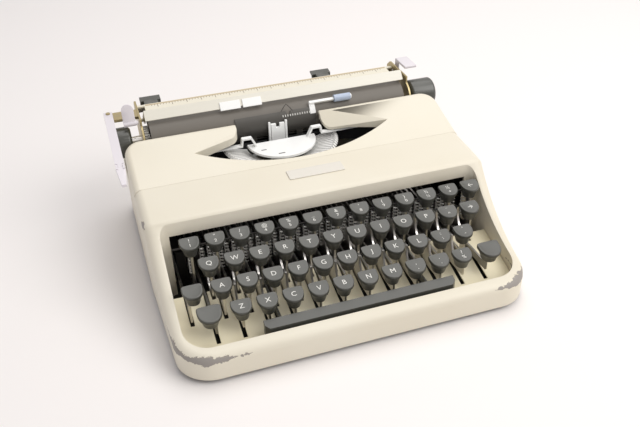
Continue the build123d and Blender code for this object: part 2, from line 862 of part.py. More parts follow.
def on_cover(x, from_front):
    """The point of the cover's sloping top over a place seen from above."""
    return Vector(x, depth(from_front), rise(seam_rise + (from_front - cover_front_depth) * cover_slope))


def lobe_press(side, crease_end, inset):
    """All that is pressed away above the leaning face of one lobe, drawn in by inset.

    The face falls at 45 degrees from a crease between the opening's tip and crease_end.
    """
    tip = on_cover(side * cover_tip_x, cover_tip_depth)
    crease = on_cover(*crease_end) - tip
    fall = Vector(-side * crease.Y, side * crease.X, 0).normalized() - Vector(0, 0, 1)
    face = Plane(origin=tip, x_dir=crease, z_dir=crease.cross(fall) * side).offset(-inset)
    with BuildPart() as pressed:
        with BuildSketch(face):
            Rectangle(4 * cover_tip_x, 4 * cover_tip_x)
        extrude(amount=cover_rear_rise)
        add(box_between(sorted((mech_x, side * cover_tip_x)), (cover_tip_depth, cover_rear_depth + over),
                        (0, 2 * cover_rear_rise)), mode=Mode.INTERSECT)
    return pressed.part


cover_outer = cover_block(0, cover_front_depth)

with BuildPart() as cover_rim:
    add(cover_opening(casing_wall))
    extrude(amount=2 * cover_rear_rise)
    add(cover_outer, mode=Mode.INTERSECT)
    add(cover_outer.moved(Location((0, 0, -cover_flange))), mode=Mode.SUBTRACT)
    add(box_between((-casing_half_width, casing_half_width), (cover_front_depth, cover_rear_depth),
                    (0, head_room_rise)), mode=Mode.SUBTRACT)

with BuildPart() as cover_hollow:
    add(cover_block(casing_wall, cover_front_depth - casing_wall))
    for side, crease_end in lobe_creases:
        add(lobe_press(side, crease_end, casing_wall), mode=Mode.SUBTRACT)

with BuildPart() as ribbon_cover:
    add(cover_outer)
    add(cover_hollow.part, mode=Mode.SUBTRACT)
    add(cover_rim.part)
    for side, crease_end in lobe_creases:
        add(lobe_press(side, crease_end, 0), mode=Mode.SUBTRACT)
    add(cover_opening(0))
    extrude(amount=2 * cover_rear_rise, mode=Mode.SUBTRACT)
    add(box_between((-casing_half_width + cover_rear_radius, casing_half_width - cover_rear_radius),
                    (cover_rear_depth - 2 * casing_wall, cover_rear_depth + over),
                    (cover_base_rise - over, cover_lip_rise)), mode=Mode.SUBTRACT)
save(ribbon_cover.part, "ribbon_cover")

# Rear brackets with their spindles, the mainspring drum and the bell

drum_x = -104.0
bell_x = 96.0
rear_axle_rise = 30.0
bracket_depth = (236.0, 238.5)
bracket_half = 8.0
spindle_end_depth = 247.4
drum_radius = 18.0
drum_depth = (239.0, 246.5)
bell_radius = 13.0
bell_wall = 1.0

with BuildPart() as rear_brackets:
    for x in (drum_x, bell_x):
        add(box_between((x - bracket_half, x + bracket_half), bracket_depth,
                        (well_floor_rise, rear_axle_rise + bracket_half)))
        with BuildSketch(Plane.XZ.offset(-depth(bracket_depth[1]))):
            with Locations((x, rise(rear_axle_rise))):
                Circle(spindle_radius)
        extrude(amount=-(spindle_end_depth - bracket_depth[1]))
save(rear_brackets.part, "rear_brackets")

with BuildPart() as mainspring_drum:
    with BuildSketch(Plane.XZ.offset(-depth(drum_depth[0]))):
        with Locations((drum_x, rise(rear_axle_rise))):
            Circle(drum_radius)
            Circle(spindle_radius + running_gap, mode=Mode.SUBTRACT)
    extrude(amount=-(drum_depth[1] - drum_depth[0]))
save(mainspring_drum.part, "mainspring_drum")

with BuildPart() as bell:
    with BuildSketch(Plane.XZ.offset(-depth(drum_depth[0]))):
        with Locations((bell_x, rise(rear_axle_rise))):
            Circle(bell_radius)
            Circle(bell_radius - bell_wall, mode=Mode.SUBTRACT)
    extrude(amount=-(drum_depth[1] - drum_depth[0]))
    with BuildSketch(Plane.XZ.offset(-depth(drum_depth[1] - bell_wall))):
        with Locations((bell_x, rise(rear_axle_rise))):
            Circle(bell_radius)
            Circle(spindle_radius, mode=Mode.SUBTRACT)
    extrude(amount=-bell_wall)
save(bell.part, "bell")

# Carriage: its bed on the rail, two end plates and what they hold

end_plate_points = [(207.0, bed_rise), (246.0, bed_rise), (256.0, 70.0), (256.0, 92.0), (250.0, 97.0),
                    (212.5, 97.0), (212.5, 90.5), (210.0, 76.0), (205.5, 66.3), (205.5, 60.0)]
end_plate_round = 16.2
bail_pivot = (238.0, 84.0)
paper_release_pivot = (215.5, 93.5)
carriage_release_pivot = (243.0, 91.0)
pin_radius = 1.5
feed_radius = 5.0
feed_angle = 40.0
feed_reach = platen_radius + feed_radius + seat_gap
feed_axis = (platen_depth + feed_reach * cos(radians(feed_angle)),
             platen_rise - feed_reach * sin(radians(feed_angle)))
lever_pin_depth = 228.0
lever_pin_radius = 1.75
lever_half_width = 3.5
lever_pin_x = -overall_width / 2 + lever_half_width
lug_rise = (94.0, 96.5)
lug_half = 7.0
return_thickness = 2.5
lever_pin_top = lug_rise[1] + seat_gap + return_thickness + 1.0
bed_depth = (207.0, 246.0)

with BuildPart() as carriage_bed:
    add(box_between((-end_plate_half, end_plate_half), bed_depth, (bed_rise, bed_rise + bed_thickness)))
save(carriage_bed.part, "carriage_bed")


def end_plate(side, pivots):
    """One end plate, bored for the platen shaft and for the pins that turn in it."""
    with BuildPart() as plate:
        add(side_plate(end_plate_points, side * (end_plate_half + end_plate_thickness / 2),
                       end_plate_thickness))
        with BuildSketch(Plane.YZ.offset(side * end_plate_half)):
            with Locations(yz(platen_depth, platen_rise)):
                Circle(end_plate_round)
        extrude(amount=side * end_plate_thickness)
        with BuildSketch(Plane.YZ.offset(side * end_plate_half)):
            with Locations(yz(platen_depth, platen_rise)):
                Circle(platen_shaft_radius + running_gap)
            with Locations(*[yz(*pivot) for pivot in pivots]):
                Circle(pin_radius + running_gap)
        extrude(amount=side * end_plate_thickness, mode=Mode.SUBTRACT)
    return plate.part


with BuildPart() as left_end_plate:
    add(end_plate(-1, (bail_pivot, feed_axis, paper_release_pivot)))
    add(box_between((lever_pin_x - lever_half_width, -end_plate_half),
                    (lever_pin_depth - lug_half, lever_pin_depth + lug_half), lug_rise))
    with BuildSketch(Plane.XY.offset(rise(lug_rise[0]))):
        with Locations((lever_pin_x, depth(lever_pin_depth))):
            Circle(lever_pin_radius)
    extrude(amount=lever_pin_top - lug_rise[0])
save(left_end_plate.part, "left_end_plate")

with BuildPart() as right_end_plate:
    add(end_plate(1, (bail_pivot, feed_axis, carriage_release_pivot)))
save(right_end_plate.part, "right_end_plate")

table_depth = (227.0, 247.0)
table_rise = (93.0, 94.0)
table_end_gap = 6.2
table_half = end_plate_half - table_end_gap
table_thickness = 1.5
table_ear_depth = 3.0

with BuildPart() as paper_table:
    add(side_plate([(table_depth[0], table_rise[0]), (table_depth[1], table_rise[1]),
                    (table_depth[1], table_rise[1] - table_thickness),
                    (table_depth[0], table_rise[0] - table_thickness)], 0, 2 * table_half))
    for side in (-1, 1):
        inner, outer = sorted((side * table_half, side * end_plate_half))
        add(box_between((inner, outer), (table_depth[1] - table_ear_depth, table_depth[1]),
                        (table_rise[1] - table_thickness, table_rise[1] - seat_gap)))
save(paper_table.part, "paper_table")

pan_angles = (-115.0, -40.0)
pan_gap = 0.8
pan_thickness = 0.8

with BuildPart() as paper_pan:
    add(arc_plate((-end_plate_half, end_plate_half), platen_radius + pan_gap, pan_thickness, *pan_angles))
save(paper_pan.part, "paper_pan")

margin_rail_depth = (251.0, 253.0)
margin_rail_rise = (85.0, 91.0)

with BuildPart() as margin_rail:
    add(box_between((-end_plate_half, end_plate_half), margin_rail_depth, margin_rail_rise))
save(margin_rail.part, "margin_rail")

feed_end_gap = 9.2
feed_half = end_plate_half - feed_end_gap

with BuildPart() as feed_roller:
    add(cross_rod(-feed_half, feed_half, *feed_axis, feed_radius))
    add(cross_rod(-plate_outer, plate_outer, *feed_axis, pin_radius))
save(feed_roller.part, "feed_roller")

# Margin stops: blocks that slide along the margin rail, with a finger tab behind

stop_half = 6.0
tab_half = 9.0
stop_depth = (248.5, 257.0)
stop_rise = (83.0, 93.0)
stop_gap = 0.1
tab_top_rise = 93.5
tab_bend_rise = 90.5
tab_base_rise = 84.0
tab_lap = 1.0
tab_edge = 1.5


def margin_stop(x):
    """A stop block bored for the rail, and its wider tab."""
    with BuildPart() as stop:
        add(box_between((x - stop_half, x + stop_half), stop_depth, stop_rise))
        add(side_plate([(stop_depth[1] - tab_lap, tab_base_rise), (stop_depth[1] + tab_lap, tab_base_rise),
                        (stop_depth[1] + 2 * tab_lap, tab_bend_rise), (overall_depth, tab_top_rise - tab_edge),
                        (overall_depth, tab_top_rise), (stop_depth[1], tab_top_rise - tab_lap)],
                       x, 2 * tab_half))
        add(box_between((x - stop_half - over, x + stop_half + over),
                        (margin_rail_depth[0] - stop_gap, margin_rail_depth[1] + stop_gap),
                        (margin_rail_rise[0] - stop_gap, margin_rail_rise[1] + stop_gap)),
            mode=Mode.SUBTRACT)
    return stop.part


left_stop_x = -106.0
right_stop_x = 53.0
save(margin_stop(left_stop_x), "left_margin_stop")
save(margin_stop(right_stop_x), "right_margin_stop")

# Platen: the rubber roller on its shaft, with a knob at each end and the line ratchet

shaft_end_reach = 19.2
platen_shaft_half = plate_outer + shaft_end_reach
knob_chamfer = 2.0
left_knob_gap = 8.6
left_knob_length = 17.6
left_knob_x = (-plate_outer - left_knob_gap - left_knob_length, -plate_outer - left_knob_gap)
right_knob_x = (plate_outer + right_knob_gap, overall_width / 2)
right_neck_x = plate_outer + seat_gap
neck_radius = 9.5
ratchet_gap = 0.6
ratchet_width = 3.6
ratchet_x = (-end_plate_half + ratchet_gap, -end_plate_half + ratchet_gap + ratchet_width)
ratchet_radius = 11.0
ratchet_teeth = 30
tooth_radius = 0.8

with BuildPart() as platen_roller:
    add(cross_rod(-platen_half, platen_half, platen_depth, platen_rise, platen_radius))
    add(cross_rod(-platen_half, platen_half, platen_depth, platen_rise, platen_shaft_radius),
        mode=Mode.SUBTRACT)
save(platen_roller.part, "platen_roller")

with BuildPart() as platen_shaft:
    add(cross_rod(-platen_shaft_half, platen_shaft_half, platen_depth, platen_rise, platen_shaft_radius))
save(platen_shaft.part, "platen_shaft")


def knob(from_x, to_x):
    """A turned knob with eased rims."""
    with BuildPart() as body:
        add(cross_rod(from_x, to_x, platen_depth, platen_rise, knob_radius))
        chamfer(faces().filter_by(Axis.X).edges(), knob_chamfer)
    return body.part


with BuildPart() as left_platen_knob:
    add(knob(*left_knob_x))
    add(cross_rod(-platen_shaft_half, left_knob_x[1] + over, platen_depth, platen_rise, platen_shaft_radius),
        mode=Mode.SUBTRACT)
save(left_platen_knob.part, "left_platen_knob")

with BuildPart() as right_platen_knob:
    add(knob(*right_knob_x))
    add(cross_rod(right_neck_x, right_knob_x[0] + knob_chamfer, platen_depth, platen_rise, neck_radius))
    add(cross_rod(right_neck_x - over, platen_shaft_half, platen_depth, platen_rise, platen_shaft_radius),
        mode=Mode.SUBTRACT)
save(right_platen_knob.part, "right_platen_knob")

with BuildPart() as ratchet_wheel:
    with BuildSketch(Plane.YZ.offset(ratchet_x[0])):
        with Locations(yz(platen_depth, platen_rise)):
            Circle(ratchet_radius)
            Circle(platen_shaft_radius, mode=Mode.SUBTRACT)
            with PolarLocations(ratchet_radius, ratchet_teeth):
                Circle(tooth_radius, mode=Mode.SUBTRACT)
    extrude(amount=ratchet_x[1] - ratchet_x[0])
save(ratchet_wheel.part, "ratchet_wheel")

# Return lever on its pin, with the folding tip that the hand pushes

lever_flat_depth = lever_pin_depth - lug_half - 1.0
lever_tip_depth = 152.0
lever_tip_rise = 89.4
lever_base_rise = lug_rise[1] + seat_gap
tip_pin_radius = 1.0
tip_lug = 2.0
tip_end_depth = 133.0
tip_end_rise = 84.0
tip_end_thickness = 2.0
tip_gap = 0.1
tip_root_depth = lever_tip_depth - tip_lug - 1.0
cheek_reach = 5.0
cheek_half_rise = 1.8
cheek_sweep = hypot(cheek_half_rise, cheek_half_rise) + tip_gap
tongue = lever_half_width / 2
tip_axis = (lever_tip_depth, lever_tip_rise + return_thickness / 2)

with BuildPart() as return_lever:
    add(side_plate([(lever_pin_depth + lever_half_width, lever_base_rise),
                    (lever_pin_depth + lever_half_width, lever_base_rise + return_thickness),
                    (lever_flat_depth, lever_base_rise + return_thickness),
                    (lever_tip_depth - tip_lug, lever_tip_rise + return_thickness),
                    (lever_tip_depth - tip_lug, lever_tip_rise),
                    (lever_flat_depth, lever_base_rise)], lever_pin_x, 2 * lever_half_width))
    with BuildSketch(Plane.XY.offset(rise(lever_base_rise))):
        with Locations((lever_pin_x, depth(lever_pin_depth))):
            Circle(lever_pin_radius + running_gap)
    extrude(amount=return_thickness, mode=Mode.SUBTRACT)
    for side in (-1, 1):
        edge = sorted((lever_pin_x + side * tongue, lever_pin_x + side * (lever_half_width + over)))
        add(box_between(edge, (lever_tip_depth - tip_lug - over, lever_tip_depth + cheek_sweep),
                        (lever_tip_rise - return_thickness, lever_tip_rise + 2 * return_thickness)),
            mode=Mode.SUBTRACT)
    add(cross_rod(lever_pin_x - lever_half_width, lever_pin_x + lever_half_width, *tip_axis, tip_pin_radius))
save(return_lever.part, "return_lever")

with BuildPart() as return_lever_tip:
    inner = tongue + tip_gap
    for side in (-1, 1):
        add(box_between(sorted((lever_pin_x + side * inner, lever_pin_x + side * lever_half_width)),
                        (lever_tip_depth - cheek_reach, lever_tip_depth + cheek_half_rise),
                        (tip_axis[1] - cheek_half_rise, tip_axis[1] + cheek_half_rise)))
    add(side_plate([(tip_root_depth, tip_axis[1] - cheek_half_rise),
                    (tip_root_depth, tip_axis[1] + cheek_half_rise),
                    (tip_end_depth, tip_end_rise + tip_end_thickness), (tip_end_depth, tip_end_rise)],
                   lever_pin_x, 2 * lever_half_width))
    add(cross_rod(lever_pin_x - lever_half_width - over, lever_pin_x + lever_half_width + over, *tip_axis,
                  tip_pin_radius + running_gap), mode=Mode.SUBTRACT)
save(return_lever_tip.part, "return_lever_tip")

# Paper bail: a flat bar across the sheet on two arms, with two small plates

bail_low = (213.5, 94.2)
bail_high = (219.3, 101.1)
bail_thickness = 1.2
arm_gap = 3.0
arm_thickness = 1.6
arm_x = (end_plate_half - arm_gap - arm_thickness, end_plate_half - arm_gap)
arm_half_width = 2.5
arm_ease = 1.0
bail_plate_x = ((-52.9, -35.2), (-33.2, -16.5))
bail_plate_thickness = 1.0
bail_plate_overhang = 2.0
bail_plate_reach = 5.5
bail_run, bail_climb = bail_high[0] - bail_low[0], bail_high[1] - bail_low[1]
bail_span = hypot(bail_run, bail_climb)
along = (bail_run / bail_span, bail_climb / bail_span)
outward = (-along[1], along[0])


def bail_point(along_by, outward_by):
    """A place measured along the bail's bar from its lower edge and out from its rear face."""
    return (bail_low[0] + along[0] * along_by + outward[0] * outward_by,
            bail_low[1] + along[1] * along_by + outward[1] * outward_by)


with BuildPart() as paper_bail:
    add(side_plate([bail_point(0, 0), bail_point(bail_span, 0), bail_point(bail_span, bail_thickness),
                    bail_point(0, bail_thickness)], 0, 2 * arm_x[1]))
    for side in (-1, 1):
        add(side_plate([(bail_pivot[0] - arm_ease, bail_pivot[1] - arm_half_width),
                        (bail_pivot[0] + arm_half_width, bail_pivot[1] - arm_ease),
                        (bail_pivot[0] + arm_ease, bail_pivot[1] + arm_half_width),
                        bail_point(bail_span, bail_thickness / 2), bail_point(0, bail_thickness / 2),
                        (bail_pivot[0] - arm_half_width, bail_pivot[1] - arm_half_width)],
                       side * sum(arm_x) / 2, arm_x[1] - arm_x[0]))
        ends = sorted((side * arm_x[1], side * plate_outer))
        add(cross_rod(*ends, *bail_pivot, pin_radius))
save(paper_bail.part, "paper_bail")

with BuildPart() as bail_plates:
    for limits in bail_plate_x:
        add(side_plate([bail_point(-bail_plate_overhang, bail_thickness),
                        bail_point(bail_plate_reach, bail_thickness),
                        bail_point(bail_plate_reach, bail_thickness + bail_plate_thickness),
                        bail_point(-bail_plate_overhang, bail_thickness + bail_plate_thickness)],
                       sum(limits) / 2, limits[1] - limits[0]))
save(bail_plates.part, "bail_plates")

# Paper release lever outside the left end plate

release_gap = 3.2
release_width = 10.0
release_x = (-plate_outer - release_gap - release_width, -plate_outer - release_gap)
release_top_rise = 110.0
release_thickness = 2.0
release_foot = 2.0
release_lean = 3.5
release_sleeve = 1.95

with BuildPart() as paper_release_lever:
    release_depth, release_rise = paper_release_pivot
    add(side_plate([(release_depth - release_foot, release_rise - release_foot),
                    (release_depth + release_foot, release_rise - release_foot),
                    (release_depth + release_lean, release_top_rise),
                    (release_depth + release_lean - release_thickness, release_top_rise)],
                   sum(release_x) / 2, release_x[1] - release_x[0]))
    add(cross_rod(release_x[0], -plate_outer - seat_gap, *paper_release_pivot, release_sleeve))
    add(cross_rod(release_x[0], -end_plate_half, *paper_release_pivot, pin_radius))
save(paper_release_lever.part, "paper_release_lever")

# Carriage release lever beside the right end plate

wing_gap = 2.2
wing_length = 12.0
wing_x = (plate_outer + wing_gap, plate_outer + wing_gap + wing_length)
wing_depth = (224.0, 246.0)
wing_rise = (99.0, 101.5)
web_thickness = 2.0
web_half = 3.0

with BuildPart() as carriage_release_lever:
    add(box_between(wing_x, wing_depth, wing_rise))
    add(box_between((wing_x[0], wing_x[0] + web_thickness),
                    (carriage_release_pivot[0] - web_half, wing_depth[1]),
                    (carriage_release_pivot[1] - web_half, wing_rise[0])))
    add(cross_rod(end_plate_half, wing_x[0] + web_thickness, *carriage_release_pivot, pin_radius))
save(carriage_release_lever.part, "carriage_release_lever")

# Card roller on a bracket from the right edge of the card plate

roller_radius = 3.2
roller_angle = 50.0
roller_x = (47.0, 62.0)
roller_pin_radius = 1.0
bracket_x = (24.0, 46.6)
roller_reach = platen_radius + roller_radius + seat_gap
roller_axis = (platen_depth - roller_reach * cos(radians(roller_angle)),
               platen_rise + roller_reach * sin(radians(roller_angle)))
card_outer = card_inner + card_thickness
bracket_from_angle = 20.0
bracket_half_angle = 3.0
button_x = (62.4, 63.2)

with BuildPart() as card_roller_bracket:
    add(arc_plate((bracket_x[0], mech_x + card_half), card_outer, card_thickness, bracket_from_angle,
                  roller_angle + bracket_half_angle))
    add(arc_plate(bracket_x, card_outer, roller_reach + roller_pin_radius - card_outer,
                  roller_angle - bracket_half_angle, roller_angle + bracket_half_angle))
    add(cross_rod(bracket_x[1], button_x[0], *roller_axis, roller_pin_radius))
    add(cross_rod(*button_x, *roller_axis, 2 * roller_pin_radius))
save(card_roller_bracket.part, "card_roller_bracket")

with BuildPart() as card_roller:
    add(cross_rod(*roller_x, *roller_axis, roller_radius))
    add(cross_rod(roller_x[0] - over, roller_x[1] + over, *roller_axis, roller_pin_radius + running_gap),
        mode=Mode.SUBTRACT)
save(card_roller.part, "card_roller")
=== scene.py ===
"""A flat portable typewriter, open to type, dressed in Blender 4.5.

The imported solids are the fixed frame, in metres: +Z is up, +Y runs from the typist to the
back and +X to the typist's right.  Sheet metal is copied from the frame and eased along its
edges.  The key caps, their levers, springs and lettering, the typebars' heads, the scales and
the paper release are made here.
"""
from math import cos, pi, radians, sin

import bmesh
import bpy
import numpy as np
from mathutils import Matrix, Vector
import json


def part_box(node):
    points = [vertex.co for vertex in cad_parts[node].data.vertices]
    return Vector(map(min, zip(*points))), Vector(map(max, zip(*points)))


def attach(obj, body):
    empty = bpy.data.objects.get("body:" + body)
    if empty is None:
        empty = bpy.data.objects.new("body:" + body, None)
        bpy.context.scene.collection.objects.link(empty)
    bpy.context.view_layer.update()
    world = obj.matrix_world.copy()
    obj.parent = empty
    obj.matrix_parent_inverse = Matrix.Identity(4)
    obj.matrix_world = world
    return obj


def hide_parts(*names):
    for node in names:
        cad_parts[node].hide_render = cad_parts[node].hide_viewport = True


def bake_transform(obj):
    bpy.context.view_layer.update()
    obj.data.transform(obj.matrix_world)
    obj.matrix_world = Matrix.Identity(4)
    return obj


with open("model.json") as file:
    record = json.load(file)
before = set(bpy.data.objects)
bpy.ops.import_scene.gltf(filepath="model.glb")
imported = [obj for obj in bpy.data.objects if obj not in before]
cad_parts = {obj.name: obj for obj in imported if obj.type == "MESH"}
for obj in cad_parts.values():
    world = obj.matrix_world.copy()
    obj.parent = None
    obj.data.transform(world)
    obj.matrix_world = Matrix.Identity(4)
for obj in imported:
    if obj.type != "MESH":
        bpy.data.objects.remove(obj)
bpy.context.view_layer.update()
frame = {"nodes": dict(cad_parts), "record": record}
mm = 0.001

# Camera: a short telephoto lens above the typist's left shoulder, looking at the middle
# of the machine.  It was fitted to the keys, whose pitch is known.

azimuth, elevation, roll = radians(-18.12), radians(34.33), radians(-1.25)
backward = Vector((sin(azimuth) * cos(elevation), -cos(azimuth) * cos(elevation), sin(elevation)))
level_right = (-backward).cross(Vector((0, 0, 1))).normalized()
level_up = level_right.cross(-backward)
camera_right = cos(roll) * level_right + sin(roll) * level_up
camera_up = cos(roll) * level_up - sin(roll) * level_right
lens = bpy.data.cameras.new("camera")
lens.sensor_width = 36.0
lens.lens = 42.73
camera = bpy.data.objects.new("camera", lens)
camera.matrix_world = Matrix.Translation((-0.1560, -0.5012, 0.3887)) @ Matrix(
    (camera_right, camera_up, backward)).transposed().to_4x4()
bpy.context.scene.collection.objects.link(camera)
bpy.context.scene.camera = camera

# Studio: a large soft lamp at the front right, a weaker one overhead, a pale sky all round
# and a pale table top that keeps the machine's soft shadow.

bpy.context.scene.view_settings.view_transform = "Standard"


def shader_node(tree, kind, **values):
    """A shader node with its properties and its numbered or named inputs set."""
    made = tree.nodes.new(kind)
    for name, value in values.items():
        if hasattr(made, name):
            setattr(made, name, value)
        else:
            made.inputs[name.replace("_", " ")].default_value = value
    return made


for lamp_name, lamp_place, diameter, power in (("front_lamp", Vector((0.85, -0.75, 1.15)), 1.2, 13.0),
                                               ("top_lamp", Vector((0.35, 0.45, 1.45)), 1.5, 11.0)):
    lamp = bpy.data.lights.new(lamp_name, "AREA")
    lamp.shape = "DISK"
    lamp.size = diameter
    lamp.energy = power
    lamp.color = (1.0, 0.985, 0.96)
    lamp_object = bpy.data.objects.new(lamp_name, lamp)
    lamp_object.location = lamp_place
    lamp_object.rotation_euler = (-lamp_place).to_track_quat("-Z", "Y").to_euler()
    bpy.context.scene.collection.objects.link(lamp_object)

sky = bpy.data.worlds.new("sky")
sky.use_nodes = True
bpy.context.scene.world = sky
sky.node_tree.nodes.clear()
seen = shader_node(sky.node_tree, "ShaderNodeLightPath")
any_view = shader_node(sky.node_tree, "ShaderNodeMath", operation="MAXIMUM")
direct_view = shader_node(sky.node_tree, "ShaderNodeMath", operation="MAXIMUM")
soft_sky = shader_node(sky.node_tree, "ShaderNodeBackground", Color=(0.98, 0.97, 1.0, 1), Strength=0.48)
white_sky = shader_node(sky.node_tree, "ShaderNodeBackground", Color=(0.93, 0.90, 0.88, 1), Strength=1.0)
either_sky = shader_node(sky.node_tree, "ShaderNodeMixShader")
sky_output = shader_node(sky.node_tree, "ShaderNodeOutputWorld")
join = sky.node_tree.links.new
join(seen.outputs["Is Camera Ray"], any_view.inputs[0])
join(seen.outputs["Is Glossy Ray"], any_view.inputs[1])
join(any_view.outputs[0], direct_view.inputs[0])
join(seen.outputs["Is Transmission Ray"], direct_view.inputs[1])
join(direct_view.outputs[0], either_sky.inputs[0])
join(soft_sky.outputs[0], either_sky.inputs[1])
join(white_sky.outputs[0], either_sky.inputs[2])
join(either_sky.outputs[0], sky_output.inputs[0])

table_top = bpy.data.meshes.new("table_top")
table_half = 4.0
table_top.from_pydata([(-table_half, -table_half, 0), (table_half, -table_half, 0),
                       (table_half, table_half, 0), (-table_half, table_half, 0)], [], [(0, 1, 2, 3)])
table_object = bpy.data.objects.new("table_top", table_top)
bpy.context.scene.collection.objects.link(table_object)
pale_board = bpy.data.materials.new("pale_board")
pale_board.use_nodes = True
board_shader = pale_board.node_tree.nodes["Principled BSDF"]
board_shader.inputs["Base Color"].default_value = (0.90, 0.865, 0.845, 1)
board_shader.inputs["Roughness"].default_value = 0.85
board_shader.inputs["Specular IOR Level"].default_value = 0.1
table_top.materials.append(pale_board)

# Upper casing: one drawn steel shell with the keyboard well sunk into it, in satin cream
# enamel that is worn to bare metal at the front corners of its rim and the left end of its
# crease.


def group_frame(name, inputs, outputs):
    """An empty shader group with its inputs (name, kind, value) and outputs (name, kind)."""
    group = bpy.data.node_groups.new(name, "ShaderNodeTree")
    for title, kind, value in inputs:
        group.interface.new_socket(title, in_out="INPUT", socket_type=kind).default_value = value
    for title, kind in outputs:
        group.interface.new_socket(title, in_out="OUTPUT", socket_type=kind)
    return group, group.nodes.new("NodeGroupInput"), group.nodes.new("NodeGroupOutput")


# Enamel: a slow drift between two near colours, and the faint waviness of sprayed paint
enamel, enamel_in, enamel_out = group_frame(
    "sprayed_enamel",
    [("Colour", "NodeSocketColor", (0.8, 0.8, 0.8, 1)),
     ("Aged Colour", "NodeSocketColor", (0.7, 0.7, 0.7, 1)),
     ("Patches Per Metre", "NodeSocketFloat", 9.0), ("Waves Per Metre", "NodeSocketFloat", 700.0)],
    [("Colour", "NodeSocketColor"), ("Roughness", "NodeSocketFloat"), ("Height", "NodeSocketFloat")])
paint_place = shader_node(enamel, "ShaderNodeTexCoord")
patches = shader_node(enamel, "ShaderNodeTexNoise", Detail=3.0)
patch_share = shader_node(enamel, "ShaderNodeMapRange", From_Min=0.35, From_Max=0.7)
drift = shader_node(enamel, "ShaderNodeMix", data_type="RGBA")
waves = shader_node(enamel, "ShaderNodeTexNoise", Detail=1.0)
gloss = shader_node(enamel, "ShaderNodeMapRange", To_Min=0.36, To_Max=0.48)
join = enamel.links.new
join(paint_place.outputs["Object"], patches.inputs["Vector"])
join(paint_place.outputs["Object"], waves.inputs["Vector"])
join(enamel_in.outputs["Patches Per Metre"], patches.inputs["Scale"])
join(enamel_in.outputs["Waves Per Metre"], waves.inputs["Scale"])
join(patches.outputs["Fac"], patch_share.inputs["Value"])
join(patch_share.outputs["Result"], drift.inputs["Factor"])
join(enamel_in.outputs["Colour"], drift.inputs["A"])
join(enamel_in.outputs["Aged Colour"], drift.inputs["B"])
join(patches.outputs["Fac"], gloss.inputs["Value"])
join(drift.outputs["Result"], enamel_out.inputs["Colour"])
join(gloss.outputs["Result"], enamel_out.inputs["Roughness"])
join(waves.outputs["Fac"], enamel_out.inputs["Height"])

# Wear: full within a ragged ball round a place, and only near one height
wear, wear_in, wear_out = group_frame(
    "worn_rim",
    [("Place", "NodeSocketVector", (0, 0, 0)), ("Reach", "NodeSocketFloat", 0.03),
     ("Edge Height", "NodeSocketFloat", 0.02), ("Edge Band", "NodeSocketFloat", 0.004)],
    [("Bare", "NodeSocketFloat"), ("Border", "NodeSocketFloat")])
wear_place = shader_node(wear, "ShaderNodeTexCoord")
ragged = shader_node(wear, "ShaderNodeTexNoise", Scale=210.0, Detail=6.0, Roughness=0.7)
distance = shader_node(wear, "ShaderNodeVectorMath", operation="DISTANCE")
nearness = shader_node(wear, "ShaderNodeMath", operation="DIVIDE")
axes = shader_node(wear, "ShaderNodeSeparateXYZ")
above = shader_node(wear, "ShaderNodeMath", operation="SUBTRACT")
off_edge = shader_node(wear, "ShaderNodeMath", operation="ABSOLUTE")
bands = shader_node(wear, "ShaderNodeMath", operation="DIVIDE")
lost = shader_node(wear, "ShaderNodeMath", operation="ADD")
strong_noise = shader_node(wear, "ShaderNodeMapRange", To_Min=-0.75, To_Max=1.75)
depth_of_wear = shader_node(wear, "ShaderNodeMath", operation="SUBTRACT")
bare = shader_node(wear, "ShaderNodeMapRange", From_Min=-0.58, From_Max=-0.54)
border = shader_node(wear, "ShaderNodeMapRange", From_Min=-0.66, From_Max=-0.56)
join = wear.links.new
join(wear_place.outputs["Object"], ragged.inputs["Vector"])
join(wear_place.outputs["Object"], distance.inputs[0])
join(wear_in.outputs["Place"], distance.inputs[1])
join(distance.outputs["Value"], nearness.inputs[0])
join(wear_in.outputs["Reach"], nearness.inputs[1])
join(wear_place.outputs["Object"], axes.inputs[0])
join(axes.outputs["Z"], above.inputs[0])
join(wear_in.outputs["Edge Height"], above.inputs[1])
join(above.outputs[0], off_edge.inputs[0])
join(off_edge.outputs[0], bands.inputs[0])
join(wear_in.outputs["Edge Band"], bands.inputs[1])
join(nearness.outputs[0], lost.inputs[0])
join(bands.outputs[0], lost.inputs[1])
join(ragged.outputs["Fac"], strong_noise.inputs["Value"])
join(strong_noise.outputs["Result"], depth_of_wear.inputs[0])
join(lost.outputs[0], depth_of_wear.inputs[1])
join(depth_of_wear.outputs[0], bare.inputs["Value"])
join(depth_of_wear.outputs[0], border.inputs["Value"])
join(bare.outputs["Result"], wear_out.inputs["Bare"])
join(border.outputs["Result"], wear_out.inputs["Border"])


def material_shader(name):
    """A new material, its node tree and its Principled BSDF."""
    made = bpy.data.materials.new(name)
    made.use_nodes = True
    return made, made.node_tree, made.node_tree.nodes["Principled BSDF"]


def enamelled(name, colour, aged_colour):
    """A satin enamel paint: the sprayed_enamel group drives its colour, roughness and fine bump."""
    made, tree, shader = material_shader(name)
    paint = shader_node(tree, "ShaderNodeGroup", node_tree=enamel)
    paint.inputs["Colour"].default_value = (*colour, 1)
    paint.inputs["Aged Colour"].default_value = (*aged_colour, 1)
    bump = shader_node(tree, "ShaderNodeBump", Strength=0.05, Distance=0.0002)
    tree.links.new(paint.outputs["Colour"], shader.inputs["Base Color"])
    tree.links.new(paint.outputs["Roughness"], shader.inputs["Roughness"])
    tree.links.new(paint.outputs["Height"], bump.inputs["Height"])
    tree.links.new(bump.outputs["Normal"], shader.inputs["Normal"])
    return made


